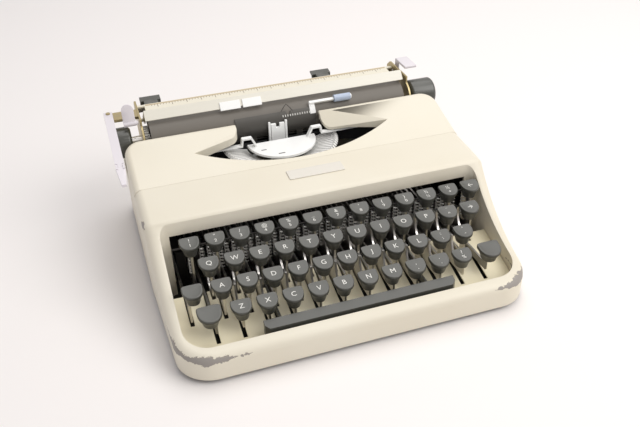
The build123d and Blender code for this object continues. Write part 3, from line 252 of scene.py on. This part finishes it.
def worn_through(material, places):
    """Bare grey metal with a thin dark border, laid over an enamel at some places of its rim."""
    tree = material.node_tree
    shader = tree.nodes["Principled BSDF"]
    painted = shader.inputs["Base Color"].links[0].from_socket
    rough = shader.inputs["Roughness"].links[0].from_socket
    masks = {"Bare": None, "Border": None}
    for spot_place, reach, edge_height, edge_band in places:
        one = shader_node(tree, "ShaderNodeGroup", node_tree=wear)
        one.inputs["Place"].default_value = spot_place
        one.inputs["Reach"].default_value = reach
        one.inputs["Edge Height"].default_value = edge_height
        one.inputs["Edge Band"].default_value = edge_band
        for title in masks:
            if masks[title] is None:
                masks[title] = one.outputs[title]
            else:
                both = shader_node(tree, "ShaderNodeMath", operation="MAXIMUM")
                tree.links.new(masks[title], both.inputs[0])
                tree.links.new(one.outputs[title], both.inputs[1])
                masks[title] = both.outputs[0]
    edged = shader_node(tree, "ShaderNodeMix", data_type="RGBA")
    stripped = shader_node(tree, "ShaderNodeMix", data_type="RGBA")
    stripped.inputs["B"].default_value = (0.30, 0.275, 0.25, 1)
    edged.inputs["B"].default_value = (0.16, 0.12, 0.085, 1)
    metal_rough = shader_node(tree, "ShaderNodeMix", data_type="FLOAT")
    metal_rough.inputs["B"].default_value = 0.5
    tree.links.new(masks["Border"], edged.inputs["Factor"])
    tree.links.new(painted, edged.inputs["A"])
    tree.links.new(masks["Bare"], stripped.inputs["Factor"])
    tree.links.new(edged.outputs["Result"], stripped.inputs["A"])
    tree.links.new(stripped.outputs["Result"], shader.inputs["Base Color"])
    tree.links.new(masks["Bare"], metal_rough.inputs["Factor"])
    tree.links.new(rough, metal_rough.inputs["A"])
    tree.links.new(metal_rough.outputs["Result"], shader.inputs["Roughness"])


sheet_crease = radians(35)


def eased_copy(node, ease, material, segments=2):
    """A copy of a CAD node, merged, its flat facets joined and its sharp edges rounded over by ease."""
    mesh = frame["nodes"][node].data.copy()
    mesh.name = node + "_eased"
    solid = bmesh.new()
    solid.from_mesh(mesh)
    bmesh.ops.remove_doubles(solid, verts=solid.verts, dist=0.002 * mm)
    bmesh.ops.dissolve_limit(solid, angle_limit=radians(1), verts=solid.verts, edges=solid.edges)
    solid.to_mesh(mesh)
    solid.free()
    mesh.materials.clear()
    mesh.materials.append(material)
    mesh.shade_smooth()
    mesh.set_sharp_from_angle(angle=sheet_crease)
    eased = bpy.data.objects.new(node + "_eased", mesh)
    bpy.context.scene.collection.objects.link(eased)
    rounding = eased.modifiers.new("rounded edges", "BEVEL")
    rounding.width = ease
    rounding.segments = segments
    rounding.limit_method = "ANGLE"
    rounding.angle_limit = sheet_crease
    rounding.use_clamp_overlap = True
    rounding.harden_normals = True
    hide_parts(node)
    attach(eased, body_of_node[node])
    return eased


bodies_of_record = frame["record"]["behaviour"]["bodies"]
body_of_node = {node: body for body, nodes in bodies_of_record.items() for node in nodes}
cream = enamelled("casing_cream", (0.765, 0.715, 0.595), (0.73, 0.67, 0.54))
worn_through(cream, [
    ((-0.1335, -0.1060, 0.0215), 0.022, 0.0215, 0.0030),
    ((-0.1160, -0.1290, 0.0205), 0.024, 0.0205, 0.0030),
    ((0.1250, -0.1240, 0.0210), 0.022, 0.0215, 0.0030),
    ((-0.1355, -0.0280, 0.0700), 0.005, 0.0700, 0.0035)])
eased_copy("upper_casing", 0.8 * mm, cream)

# Keyboard tray: a slotted steel sheet under the keys, in the same enamel but yellower

tray_cream = enamelled("tray_cream", (0.85, 0.78, 0.575), (0.79, 0.71, 0.50))
eased_copy("keyboard_tray", 0.25 * mm, tray_cream, segments=1)

# Ribbon cover: a lift-off steel shell in the casing's enamel, whose two lobes lean down
# towards the opening over the typebars.

plain_cream = enamelled("cover_cream", (0.765, 0.715, 0.595), (0.735, 0.68, 0.55))
eased_copy("ribbon_cover", 0.6 * mm, plain_cream)

# Name plate: a thin bright plate fixed on the deck, left bare


def stamped(name, colour, metallic, roughness, bump_scale=0.0, bump=0.1):
    """A plain finish of one colour, with an optional fine grain in its surface."""
    made, tree, shader = material_shader(name)
    shader.inputs["Base Color"].default_value = (*colour, 1)
    shader.inputs["Metallic"].default_value = metallic
    shader.inputs["Roughness"].default_value = roughness
    if bump_scale:
        where = shader_node(tree, "ShaderNodeTexCoord")
        grain = shader_node(tree, "ShaderNodeTexNoise", Scale=bump_scale, Detail=4.0)
        relief = shader_node(tree, "ShaderNodeBump", Strength=bump, Distance=0.0002)
        tree.links.new(where.outputs["Object"], grain.inputs["Vector"])
        tree.links.new(grain.outputs["Fac"], relief.inputs["Height"])
        tree.links.new(relief.outputs["Normal"], shader.inputs["Normal"])
    return made


def painted_node(node, material):
    """Give a CAD node that is shown as it is a better material."""
    mesh = frame["nodes"][node].data
    mesh.materials.clear()
    mesh.materials.append(material)


plate_finish = stamped("satin_plate", (0.66, 0.63, 0.57), 0.35, 0.42)
eased_copy("badge_plate", 0.2 * mm, plate_finish)

# Bottom plate, feet and chassis: near-black sheet steel, partly painted shade for the dark
# interior, turned steel rods and rubber, all under the casing

# This steel's near-black is partly a dark finish and partly painted shade for the machine's dark interior
dark_steel_and_shade = stamped("dark_steel_and_painted_shade", (0.035, 0.033, 0.03), 0.5, 0.5, 400, 0.2)
bright_steel = stamped("bright_steel", (0.72, 0.70, 0.67), 1.0, 0.28)
dull_steel = stamped("dull_steel", (0.32, 0.31, 0.29), 1.0, 0.42, 300, 0.15)
dull_rubber = stamped("dull_rubber", (0.03, 0.03, 0.03), 0.0, 0.8, 900, 0.3)
passivated = stamped("yellow_passivated", (0.40, 0.33, 0.185), 1.0, 0.42, 250, 0.1)
for node in ("bottom_plate", "lever_comb", "carriage_rail", "side_frames", "spool_cups"):
    painted_node(node, dark_steel_and_shade)
for node in ("key_shaft", "basket_posts", "platen_shaft", "margin_rail"):
    painted_node(node, bright_steel)
for node in ("shift_frame", "rear_brackets", "mainspring_drum", "ratchet_wheel", "type_segment"):
    painted_node(node, dull_steel)
painted_node("rubber_feet", dull_rubber)
painted_node("bell", passivated)

# Key caps: mouldings in dark grey-green plastic, shield-shaped, with a dished top that leans
# to the typist, a short upright rim and a body that narrows down to its lever


def closed_skin(rings):
    """Vertices and faces of a skin through rings, an array of rows, places and xyz.

    Quads join each row of places to the next, and a fan draws each end row to its mean point.
    """
    rows, columns = rings.shape[:2]
    row, column = np.mgrid[0:rows - 1, 0:columns]
    after = (column + 1) % columns
    quads = np.stack([row * columns + column, row * columns + after,
                      (row + 1) * columns + after, (row + 1) * columns + column], -1).reshape(-1, 4)
    column = np.arange(columns)
    after = (column + 1) % columns
    first, last = np.full(columns, rows * columns), np.full(columns, rows * columns + 1)
    top = (rows - 1) * columns
    fans = np.concatenate([np.stack([first, after, column], -1),
                           np.stack([last, top + column, top + after], -1)])
    points = np.concatenate([rings.reshape(-1, 3), rings[:1].mean(1), rings[-1:].mean(1)])
    return points, quads.tolist() + fans.tolist()


moulded_crease = radians(40)


def piece_of(name, parts, material, body, replaced=()):
    """One object from several (vertices, faces) parts, smooth except at sharp edges.

    It rides on the body, if one is given.
    """
    points = np.concatenate([part[0] for part in parts])
    offsets = np.cumsum([0] + [len(part[0]) for part in parts[:-1]])
    faces = [[index + offset for index in face] for part, offset in zip(parts, offsets) for face in part[1]]
    mesh = bpy.data.meshes.new(name)
    mesh.from_pydata(points.tolist(), [], faces)
    mesh.materials.append(material)
    mesh.shade_smooth()
    mesh.set_sharp_from_angle(angle=moulded_crease)
    made = bpy.data.objects.new(name, mesh)
    bpy.context.scene.collection.objects.link(made)
    if body:
        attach(made, body)
    if replaced:
        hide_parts(*replaced)
    return made


cap_half_width, cap_back, cap_front, cap_height = 7.5 * mm, 5.8 * mm, 7.0 * mm, 11.6 * mm
cap_widest = 1.8 * mm
cap_dish = 0.5 * mm
cap_tilt = 0.19

# The outline is a superellipse about its widest place, nearly square at the back and nearly
# round in front.
around = np.linspace(0, 2 * pi, 64, endpoint=False)
square_back, round_front = 0.34, 0.93
corner_power = np.where(np.sin(around) > 0, square_back, round_front)
cap_outline = np.stack([
    cap_half_width * np.sign(np.cos(around)) * np.abs(np.cos(around)) ** corner_power,
    cap_widest + np.where(np.sin(around) > 0, cap_back - cap_widest, cap_front + cap_widest)
    * np.sign(np.sin(around)) * np.abs(np.sin(around)) ** corner_power], -1)

# The profile gives how wide the outline is at each height: the body, the rim, its rounded
# edge, and a dish that is a parabola.
rim_ease = 0.6 * mm
bend = np.linspace(0, pi / 2, 5)
eased_rim = np.stack([1 - rim_ease / cap_half_width * (1 - np.cos(bend)),
                      cap_height - rim_ease * (1 - np.sin(bend))], -1)
dish_share = np.array([0.78, 0.6, 0.4, 0.2])
cap_profile = np.concatenate([
    [(0.62, 0), (0.74, 0.35 * cap_height), (0.86, 0.62 * cap_height), (0.925, 0.715 * cap_height),
     (0.985, 0.735 * cap_height), (1.0, 0.76 * cap_height)],
    eased_rim, np.stack([dish_share, cap_height - cap_dish * (1 - dish_share ** 2)], -1)])


def key_cap(x, y, top, size):
    """A cap's skin: the shield outline scaled by each step of the profile and raised to its height.

    The top leans to the typist: each point sinks by cap_tilt times its way in front of the back
    edge, in full at the top and not at all at the base.
    """
    share, height = cap_profile[:, :1] * size, cap_profile[:, 1:]
    forward = np.clip(cap_back * size - share * cap_outline[:, 1], 0, None)
    rings = np.stack([x + share * cap_outline[:, 0], y + share * cap_outline[:, 1],
                      top - cap_height + height - cap_tilt * forward * height / cap_height], -1)
    return closed_skin(rings)


key_plastic, _, plastic_shader = material_shader("cap_plastic")
plastic_shader.inputs["Base Color"].default_value = (0.046, 0.047, 0.039, 1)
plastic_shader.inputs["Roughness"].default_value = 0.33
plastic_shader.inputs["Specular IOR Level"].default_value = 0.7
number_row_y, row_step = -48.4 * mm, 18.4 * mm
cap_groups = [("keys_number_row", 0, 11, 1.0), ("first_key", 0, 1, 1.0), ("backspace_key", 0, 1, 1.0),
              ("keys_top_row", 1, 11, 1.0), ("margin_release_key", 1, 1, 1.0), ("keys_home_row", 2, 11, 1.0),
              ("keys_bottom_row", 3, 10, 1.0), ("shift_lock_key", 2, 1, 1.0), ("left_shift_key", 3, 1, 1.16),
              ("right_shift_key", 3, 1, 1.16)]
solid_cap_half = 7.52 * mm
cap_places = {}
for node, row, count, size in cap_groups:
    low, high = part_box(node)
    reach = solid_cap_half * size
    xs = np.linspace(low.x + reach, high.x - reach, count)
    y = number_row_y - row * row_step
    cap_places[node] = (xs, y, high.z)
    piece_of(node + "_caps", [key_cap(x, y, high.z, size) for x in xs], key_plastic,
             body_of_node[node], replaced=[node])

# Key levers: flat steel bars that hang on the key shaft, rise between the caps of the row
# behind and dip down again to the stem of their own cap

shaft_y, shaft_z = 53.0 * mm, 16.0 * mm
lever_height, lever_thickness, lever_slope = 6.0 * mm, 1.6 * mm, 0.055
boss_radius, boss_neck, boss_arc = 5.0 * mm, 4.0 * mm, radians(143)
hump_front, hump_rear = 7.0 * mm, 22.0 * mm
rise_run, fall_run = 11.0 * mm, 18.0 * mm


def lever_outline(key_y, cap_base, hump):
    """A lever's side view: boss arc, straight bar, a hump of the given height, and the cap's stem.

    The hump starts as a quarter circle in front and falls back to the bar as a cosine.
    """
    half = lever_height / 2
    boss = np.linspace(-boss_arc, boss_arc, 16)
    up = np.linspace(0, 1, 10)
    hump_y = np.concatenate([key_y + hump_rear + fall_run * np.linspace(1, 0, 8),
                             key_y + hump_front + rise_run * np.sin(up[::-1] * pi / 2)])
    hump_z = np.concatenate([hump * (1 - np.cos(np.linspace(0, pi, 8))) / 2,
                             hump * (1 - np.cos(up[::-1] * pi / 2))])
    line = shaft_z + half + (shaft_y - hump_y) * lever_slope
    front, back = key_y - half, key_y + half
    bar_top = shaft_z + half + (shaft_y - np.array([front, back])) * lever_slope
    outline = [(front, cap_base), (front, bar_top[0] - lever_height), (back, bar_top[1] - lever_height),
               (shaft_y - boss_neck, shaft_z - half)]
    outline += list(zip(shaft_y + boss_radius * np.cos(boss), shaft_z + boss_radius * np.sin(boss)))
    outline += [(shaft_y - boss_neck, shaft_z + half)]
    outline += list(zip(hump_y, line + hump_z))
    outline += [(back, bar_top[1]), (back, cap_base)]
    return np.array(outline)


def flat_bar(x, outline, thickness):
    """A plate of some thickness across X: its outline twice, joined by quads round the edge."""
    count = len(outline)
    near_side = np.column_stack([np.full(count, x - thickness / 2), outline])
    far_side = np.column_stack([np.full(count, x + thickness / 2), outline])
    place_in = np.arange(count)
    after = (place_in + 1) % count
    edge = np.stack([count + place_in, place_in, after, count + after], -1).tolist()
    faces = [list(range(count, 2 * count)), list(range(count - 1, -1, -1))] + edge
    return np.concatenate([near_side, far_side]), faces


row_humps = (0.0, 17 * mm, 0.0, 18 * mm)
lever_aside = {"shift_lock_key": -3.6 * mm}
lever_groups = [(node, row) for node, row, count, size in cap_groups if "shift_key" not in node]
for node, row in lever_groups:
    xs, y, top = cap_places[node]
    outline = lever_outline(y, top - cap_height, row_humps[row])
    bars = [flat_bar(x, outline, lever_thickness) for x in xs + lever_aside.get(node, 0.0)]
    piece_of(node + "_levers", bars, bright_steel, body_of_node[node])

# Return springs: one bright coil of steel wire for each lever, hung from a bar behind the
# number row.  Those of two rows hang a little aside, clear of the space bar's arms.


def tube(path, radius, across, sides=8):
    """A round wire along a path: a circle round each point, square to the path's direction.

    The circle's first axis is square to both the direction and the given vector.
    """
    direction = np.gradient(path, axis=0)
    direction /= np.linalg.norm(direction, axis=1, keepdims=True)
    first = np.cross(across, direction)
    first /= np.linalg.norm(first, axis=1, keepdims=True)
    second = np.cross(direction, first)
    turn = np.linspace(0, 2 * pi, sides, endpoint=False)[None, :, None]
    ring = np.cos(turn) * first[:, None] + np.sin(turn) * second[:, None]
    return closed_skin(path[:, None] + radius * ring)


upright = (0, 0, 1)
spring_y, spring_top, spring_foot = -39.0 * mm, 50.0 * mm, 26.5 * mm
spring_steel = stamped("spring_steel", (0.86, 0.85, 0.82), 0.3, 0.35)
spring_radius, spring_wire, spring_turns = 1.5 * mm, 0.48 * mm, 8
spring_aside = {"keys_top_row": -0.55 * mm, "keys_home_row": 0.55 * mm}
wind = np.linspace(0, 2 * pi * spring_turns, spring_turns * 12)
coil_z = np.linspace(spring_top, spring_foot, len(wind))
bar_half_length, bar_radius, bar_z = 120.5 * mm, 0.9 * mm, spring_top + 1 * mm
bar_path = np.array([[-bar_half_length, spring_y, bar_z], [bar_half_length, spring_y, bar_z]])
piece_of("spring_bar", [tube(bar_path, bar_radius, upright)], dark_steel_and_shade, "frame")


def coil(x):
    """A return spring's wire: a helix of spring_turns turns that goes down from the bar."""
    path = np.stack([x + spring_radius * np.cos(wind), spring_y + spring_radius * np.sin(wind), coil_z], -1)
    return tube(path, spring_wire, upright, 5)


for node, row in lever_groups:
    if node == "shift_lock_key":
        continue
    coils = [coil(x) for x in cap_places[node][0] + spring_aside.get(node, 0.0)]
    springs = piece_of(node + "_springs", coils, spring_steel, None)
    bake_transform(springs)

# Legends: white letters moulded into the tops of the caps, with two signs on some keys

legend_white = stamped("legend_white", (0.78, 0.77, 0.72), 0.0, 0.5)
legends = {
    "first_key": ["!1"],
    "keys_number_row": ["\"2", "/3", "@4", "%5", "_6", "&7", "'8", "(9", ")0", "¾¼", "½+"],
    "backspace_key": ["←"],
    "keys_top_row": ["Q", "W", "E", "R", "T", "Y", "U", "I", "O", "P", "¨^"],
    "margin_release_key": ["→"],
    "keys_home_row": ["A", "S", "D", "F", "G", "H", "J", "K", "L", ":;", "'-"],
    "keys_bottom_row": ["Z", "X", "C", "V", "B", "N", "M", ",,", "..", "?%"],
}


def letter(sign, size):
    """One sign as a flat mesh, centred on the origin."""
    text = bpy.data.curves.new("sign", "FONT")
    text.body = sign
    text.size = size
    text.align_x = "CENTER"
    text.align_y = "CENTER"
    text.resolution_u = 3
    carrier = bpy.data.objects.new("sign", text)
    bpy.context.scene.collection.objects.link(carrier)
    bpy.context.view_layer.update()
    mesh = bpy.data.meshes.new_from_object(carrier.evaluated_get(bpy.context.evaluated_depsgraph_get()))
    bpy.data.objects.remove(carrier)
    return mesh


single_size, pair_size, pair_spacing = 5.8 * mm, 4.4 * mm, 4.6 * mm
legend_forward, legend_clear = 0.3 * mm, 0.08 * mm
for node, signs in legends.items():
    xs, y, top = cap_places[node]
    sheet = bmesh.new()
    for x, pair in zip(xs, signs):
        for place_in_pair, sign in enumerate(pair):
            single = len(pair) == 1
            mesh = letter(sign, single_size if single else pair_size)
            lift = 0 if single else (0.5 - place_in_pair) * pair_spacing
            mesh.transform(Matrix.Translation((x, y + lift - legend_forward, top)))
            sheet.from_mesh(mesh)
    mesh = bpy.data.meshes.new(node + "_legends")
    sheet.to_mesh(mesh)
    sheet.free()
    points = np.empty(len(mesh.vertices) * 3)
    mesh.vertices.foreach_get("co", points)
    points = points.reshape(-1, 3)
    pitch = xs[1] - xs[0] if len(xs) > 1 else 1.0
    nearest = xs[0] + pitch * np.round((points[:, 0] - xs[0]) / pitch)
    share = np.hypot((points[:, 0] - nearest) / cap_half_width, (points[:, 1] - y) / cap_back)
    sunk = cap_dish * (1 - np.clip(share, 0, 1) ** 2) + cap_tilt * (cap_back - points[:, 1] + y)
    points[:, 2] = top - sunk + legend_clear
    mesh.vertices.foreach_set("co", points.ravel())
    mesh.materials.append(legend_white)
    printed = bpy.data.objects.new(node + "_legends", mesh)
    bpy.context.scene.collection.objects.link(printed)
    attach(printed, body_of_node[node])

# Space bar: a long moulding in the caps' plastic, with a ridge between its top and its front
# face, carried by two arms on the key shaft

eased_copy("space_bar", 0.7 * mm, key_plastic, segments=3)

# Type basket: plated steel typebars that fan out round the segment, each with its type
# slug, and the white half moon that guards them, hung on two cranked ears

plated = stamped("plated_steel", (0.93, 0.92, 0.89), 0.0, 0.3)
basket_x, basket_y = -7.0 * mm, 63.5 * mm
last_bar = 43

# A head's corners, the inner end's four and then the outer end's: how far out, which side
# and how high
head_corners = np.array([
    (29.0, -0.5, 64.3), (29.0, 0.5, 64.3), (29.0, 0.5, 65.2), (29.0, -0.5, 65.2),
    (49.6, -1.1, 69.2), (49.6, 1.1, 69.2), (49.6, 1.1, 70.2), (49.6, -1.1, 70.2)]) * mm
head_faces = [(0, 1, 2, 3), (7, 6, 5, 4), (0, 4, 5, 1), (1, 5, 6, 2), (2, 6, 7, 3), (3, 7, 4, 0)]


def type_head(index):
    """One typebar's broad end: a wedge that widens outwards, turned to its place in the half ring."""
    angle = pi * index / last_bar
    out, side, up = head_corners.T
    return np.column_stack([basket_x + out * cos(angle) - side * sin(angle),
                            basket_y - out * sin(angle) - side * cos(angle), up]), head_faces


# The blades are near black low down, which is painted shade for the depth of the basket under the cover, and
# bright at the type
shaded_blade_steel, blade_tree, blade_shader = material_shader("shaded_blade_steel")
blade_place = shader_node(blade_tree, "ShaderNodeTexCoord")
blade_axes = shader_node(blade_tree, "ShaderNodeSeparateXYZ")
blade_shade_rise = shader_node(blade_tree, "ShaderNodeMapRange", From_Min=0.0665, From_Max=0.0680)
blade_shade_to_bright = shader_node(blade_tree, "ShaderNodeMix", data_type="RGBA")
# Colour A is painted shade for the basket's depth, colour B the bright plated type end
blade_shade_to_bright.inputs["A"].default_value = (0.06, 0.058, 0.053, 1)
blade_shade_to_bright.inputs["B"].default_value = (0.93, 0.92, 0.89, 1)
blade_tree.links.new(blade_place.outputs["Object"], blade_axes.inputs[0])
blade_tree.links.new(blade_axes.outputs["Z"], blade_shade_rise.inputs["Value"])
blade_tree.links.new(blade_shade_rise.outputs["Result"], blade_shade_to_bright.inputs["Factor"])
blade_tree.links.new(blade_shade_to_bright.outputs["Result"], blade_shader.inputs["Base Color"])
blade_shader.inputs["Roughness"].default_value = 0.4
for node, numbers in (("typebars_right", range(22)), ("typebars_left", range(22, last_bar)),
                      ("first_typebar", [last_bar])):
    painted_node(node, shaded_blade_steel)
    piece_of(node + "_heads", [type_head(number) for number in numbers], plated, body_of_node[node])
white_enamel = stamped("white_enamel", (0.92, 0.92, 0.90), 0.0, 0.3)
eased_copy("typebar_guard", 0.45 * mm, white_enamel, segments=3)


def marks_on(name, corners, material, body):
    """Thin marks lying on a surface, each a quad given by the xyz of its four corners in mm."""
    points = np.array(corners, dtype=float).reshape(-1, 3) * mm
    faces = np.arange(len(points)).reshape(-1, 4).tolist()
    return piece_of(name, [(points, faces)], material, body)


def level_mark(x_range, y_range, front_z, rear_z):
    """The corners of one mark between two x and two y, at one height in front and one at the rear."""
    return [(x_range[0], y_range[0], front_z), (x_range[1], y_range[0], front_z),
            (x_range[1], y_range[1], rear_z), (x_range[0], y_range[1], rear_z)]


# The guard's slots are black quads on its face: painted shade where the slots would show the dark basket
# below
slot_shade_black = stamped("painted_slot_shade", (0.03, 0.03, 0.03), 0.0, 0.8)
on_guard, slot_half_width = 72.84, 0.6
slot_rows = [level_mark((x - half, x + half), (y - slot_half_width, y + slot_half_width), on_guard, on_guard)
             for x, y, half in ((-25.8, 44.6, 2.2), (-13.0, 34.4, 2.8))]
marks_on("guard_slots", slot_rows, slot_shade_black, "frame")

# Type guide, ribbon vibrator and card plate in front of the platen: the guide and vibrator
# white, the plate dark with a white scale and a peaked wire, and an inked ribbon on two spools

eased_copy("type_guide", 0.3 * mm, white_enamel)
eased_copy("ribbon_vibrator", 0.3 * mm, white_enamel)
dark_plate = stamped("dark_plate", (0.075, 0.07, 0.062), 0.2, 0.42, 500, 0.1)
eased_copy("card_plate", 0.15 * mm, dark_plate, segments=1)
axis_y, axis_z, plate_reach = 86.0, 80.0, 17.3
first_tick, tick_step, tick_count = -1.0, 2.2, 12
tick_angle = np.radians([23.0, 23.0, 29.0, 29.0])
tick_edges = np.array([0.0, 0.7, 0.7, 0.0])
tick_rows = [np.column_stack([first_tick + tick_step * tick + tick_edges,
                              axis_y - plate_reach * np.cos(tick_angle),
                              axis_z + plate_reach * np.sin(tick_angle)]) for tick in range(tick_count)]
marks_on("card_scale", tick_rows, legend_white, "frame")
wire_path = np.array([(-2.7, 68.8, 93.2), (0.0, 69.3, 97.0), (2.0, 69.5, 99.2), (4.2, 69.3, 97.0),
                      (8.0, 68.8, 91.8)]) * mm
piece_of("line_wire", [tube(wire_path, 0.35 * mm, (0, 1, 0.01))], dark_plate, "frame")
ribbon_cloth = stamped("ribbon_cloth", (0.02, 0.02, 0.022), 0.0, 0.9)
painted_node("ribbon", ribbon_cloth)
spool_paint = stamped("spool_paint", (0.05, 0.05, 0.05), 0.4, 0.4)
painted_node("left_ribbon_spool", spool_paint)
painted_node("right_ribbon_spool", spool_paint)

# Platen: a hard rubber roller on a steel shaft, with a plain plastic knob at each end

platen_rubber, _, platen_shader = material_shader("platen_rubber")
platen_shader.inputs["Base Color"].default_value = (0.145, 0.13, 0.11, 1)
platen_shader.inputs["Roughness"].default_value = 0.5
painted_node("platen_roller", platen_rubber)
painted_node("feed_roller", dull_rubber)
eased_copy("left_platen_knob", 0.6 * mm, key_plastic)
eased_copy("right_platen_knob", 0.6 * mm, key_plastic)

# Carriage: dark bed and pan, passivated end plates, and the enamelled paper table whose
# rear band carries a scale on a tan that is painted shade for the table's tilted rear section

painted_node("carriage_bed", dark_steel_and_shade)
painted_node("paper_pan", dark_steel_and_shade)
eased_copy("left_end_plate", 0.3 * mm, passivated, segments=1)
eased_copy("right_end_plate", 0.3 * mm, passivated, segments=1)
table_cream = enamelled("table_cream", (0.775, 0.73, 0.61), (0.75, 0.70, 0.57))
eased_copy("paper_table", 0.5 * mm, table_cream, segments=3)
# The band's tan is painted shade for the table's rear section, which tilts differently to the light; its
# graduations are print
scale_band_painted_shade = stamped("scale_band_painted_shade", (0.52, 0.42, 0.27), 0.0, 0.5)
scale_brown = stamped("scale_brown", (0.16, 0.11, 0.06), 0.0, 0.6)
band_half, band_front, band_rear = 112.0, 112.0, 114.2
marks_on("scale_band", [level_mark((-band_half, band_half), (band_front, band_rear), 97.9, 98.01)],
         scale_band_painted_shade, "carriage")
type_pitch, line_half = 2.54, 0.2
long_line, short_line = 107.4, 109.8
graduations = [level_mark((type_pitch * step - line_half, type_pitch * step + line_half),
                          (long_line if step % 5 == 0 else short_line, band_front), 97.72, 97.92)
               for step in range(-42, 43)]
marks_on("scale_graduations", graduations, scale_brown, "carriage")
eased_copy("left_margin_stop", 0.4 * mm, key_plastic)
eased_copy("right_margin_stop", 0.4 * mm, key_plastic)
bail_enamel = stamped("bail_enamel", (0.76, 0.73, 0.64), 0.0, 0.3)
eased_copy("paper_bail", 0.25 * mm, bail_enamel)
eased_copy("bail_plates", 0.25 * mm, white_enamel)

# Levers: grey enamelled steel, and the card roller of pale plastic on its white bracket

lever_grey = enamelled("lever_grey", (0.74, 0.70, 0.73), (0.68, 0.64, 0.67))
eased_copy("return_lever", 0.5 * mm, lever_grey, segments=3)

# The lever's claw narrows evenly to half its width at its tip
claw = eased_copy("return_lever_tip", 0.5 * mm, lever_grey, segments=3).data
claw_middle, claw_root, claw_run = -144.5 * mm, 14.0 * mm, 13.0 * mm
claw_points = np.empty(len(claw.vertices) * 3)
claw.vertices.foreach_get("co", claw_points)
claw_points = claw_points.reshape(-1, 3)
narrowing = 1 - 0.5 * np.clip((claw_root - claw_points[:, 1]) / claw_run, 0, 1)
claw_points[:, 0] = claw_middle + (claw_points[:, 0] - claw_middle) * narrowing
claw.vertices.foreach_set("co", claw_points.ravel())

# The paper release is an upright tongue with a half-round top, whose faces are drawn in at
# the edges and which leans back as it rises, on a sleeve
tongue_x, tongue_y, tongue_foot = -129.0 * mm, 83.5 * mm, 95.5 * mm
tongue_half, tongue_straight, tongue_crown = 5.0, 13.0, 5.5
tongue_lean = 2.5 / (tongue_straight + tongue_crown)
tongue_turn = np.linspace(0, pi, 18)
tongue_arch = np.column_stack([tongue_half * np.cos(tongue_turn),
                               tongue_straight + tongue_crown * np.sin(tongue_turn)])
tongue_side = np.concatenate([[(tongue_half, 0)], tongue_arch, [(-tongue_half, 0)]]) * mm
tongue_skin = []
for thick, drawn_in in ((-1.0 * mm, 0.92), (-0.6 * mm, 1.0), (0.6 * mm, 1.0), (1.0 * mm, 0.92)):
    tongue_skin.append(np.column_stack([tongue_x + drawn_in * tongue_side[:, 0],
                                        tongue_y + tongue_lean * tongue_side[:, 1] + thick,
                                        tongue_foot + drawn_in * tongue_side[:, 1]]))
sleeve_ends, sleeve_z, sleeve_radius = (-134.0 * mm, -122.0 * mm), 97.5 * mm, 1.9 * mm
sleeve = tube(np.array([[x, tongue_y, sleeve_z] for x in sleeve_ends]), sleeve_radius, upright, 24)
piece_of("paper_release_tongue", [closed_skin(np.array(tongue_skin)), sleeve], lever_grey,
         "paper_release", replaced=["paper_release_lever"])
eased_copy("carriage_release_lever", 0.8 * mm, lever_grey, segments=3)
eased_copy("card_roller_bracket", 0.2 * mm, white_enamel)
pale_blue = stamped("pale_blue_plastic", (0.42, 0.49, 0.62), 0.0, 0.25)
painted_node("card_roller", pale_blue)
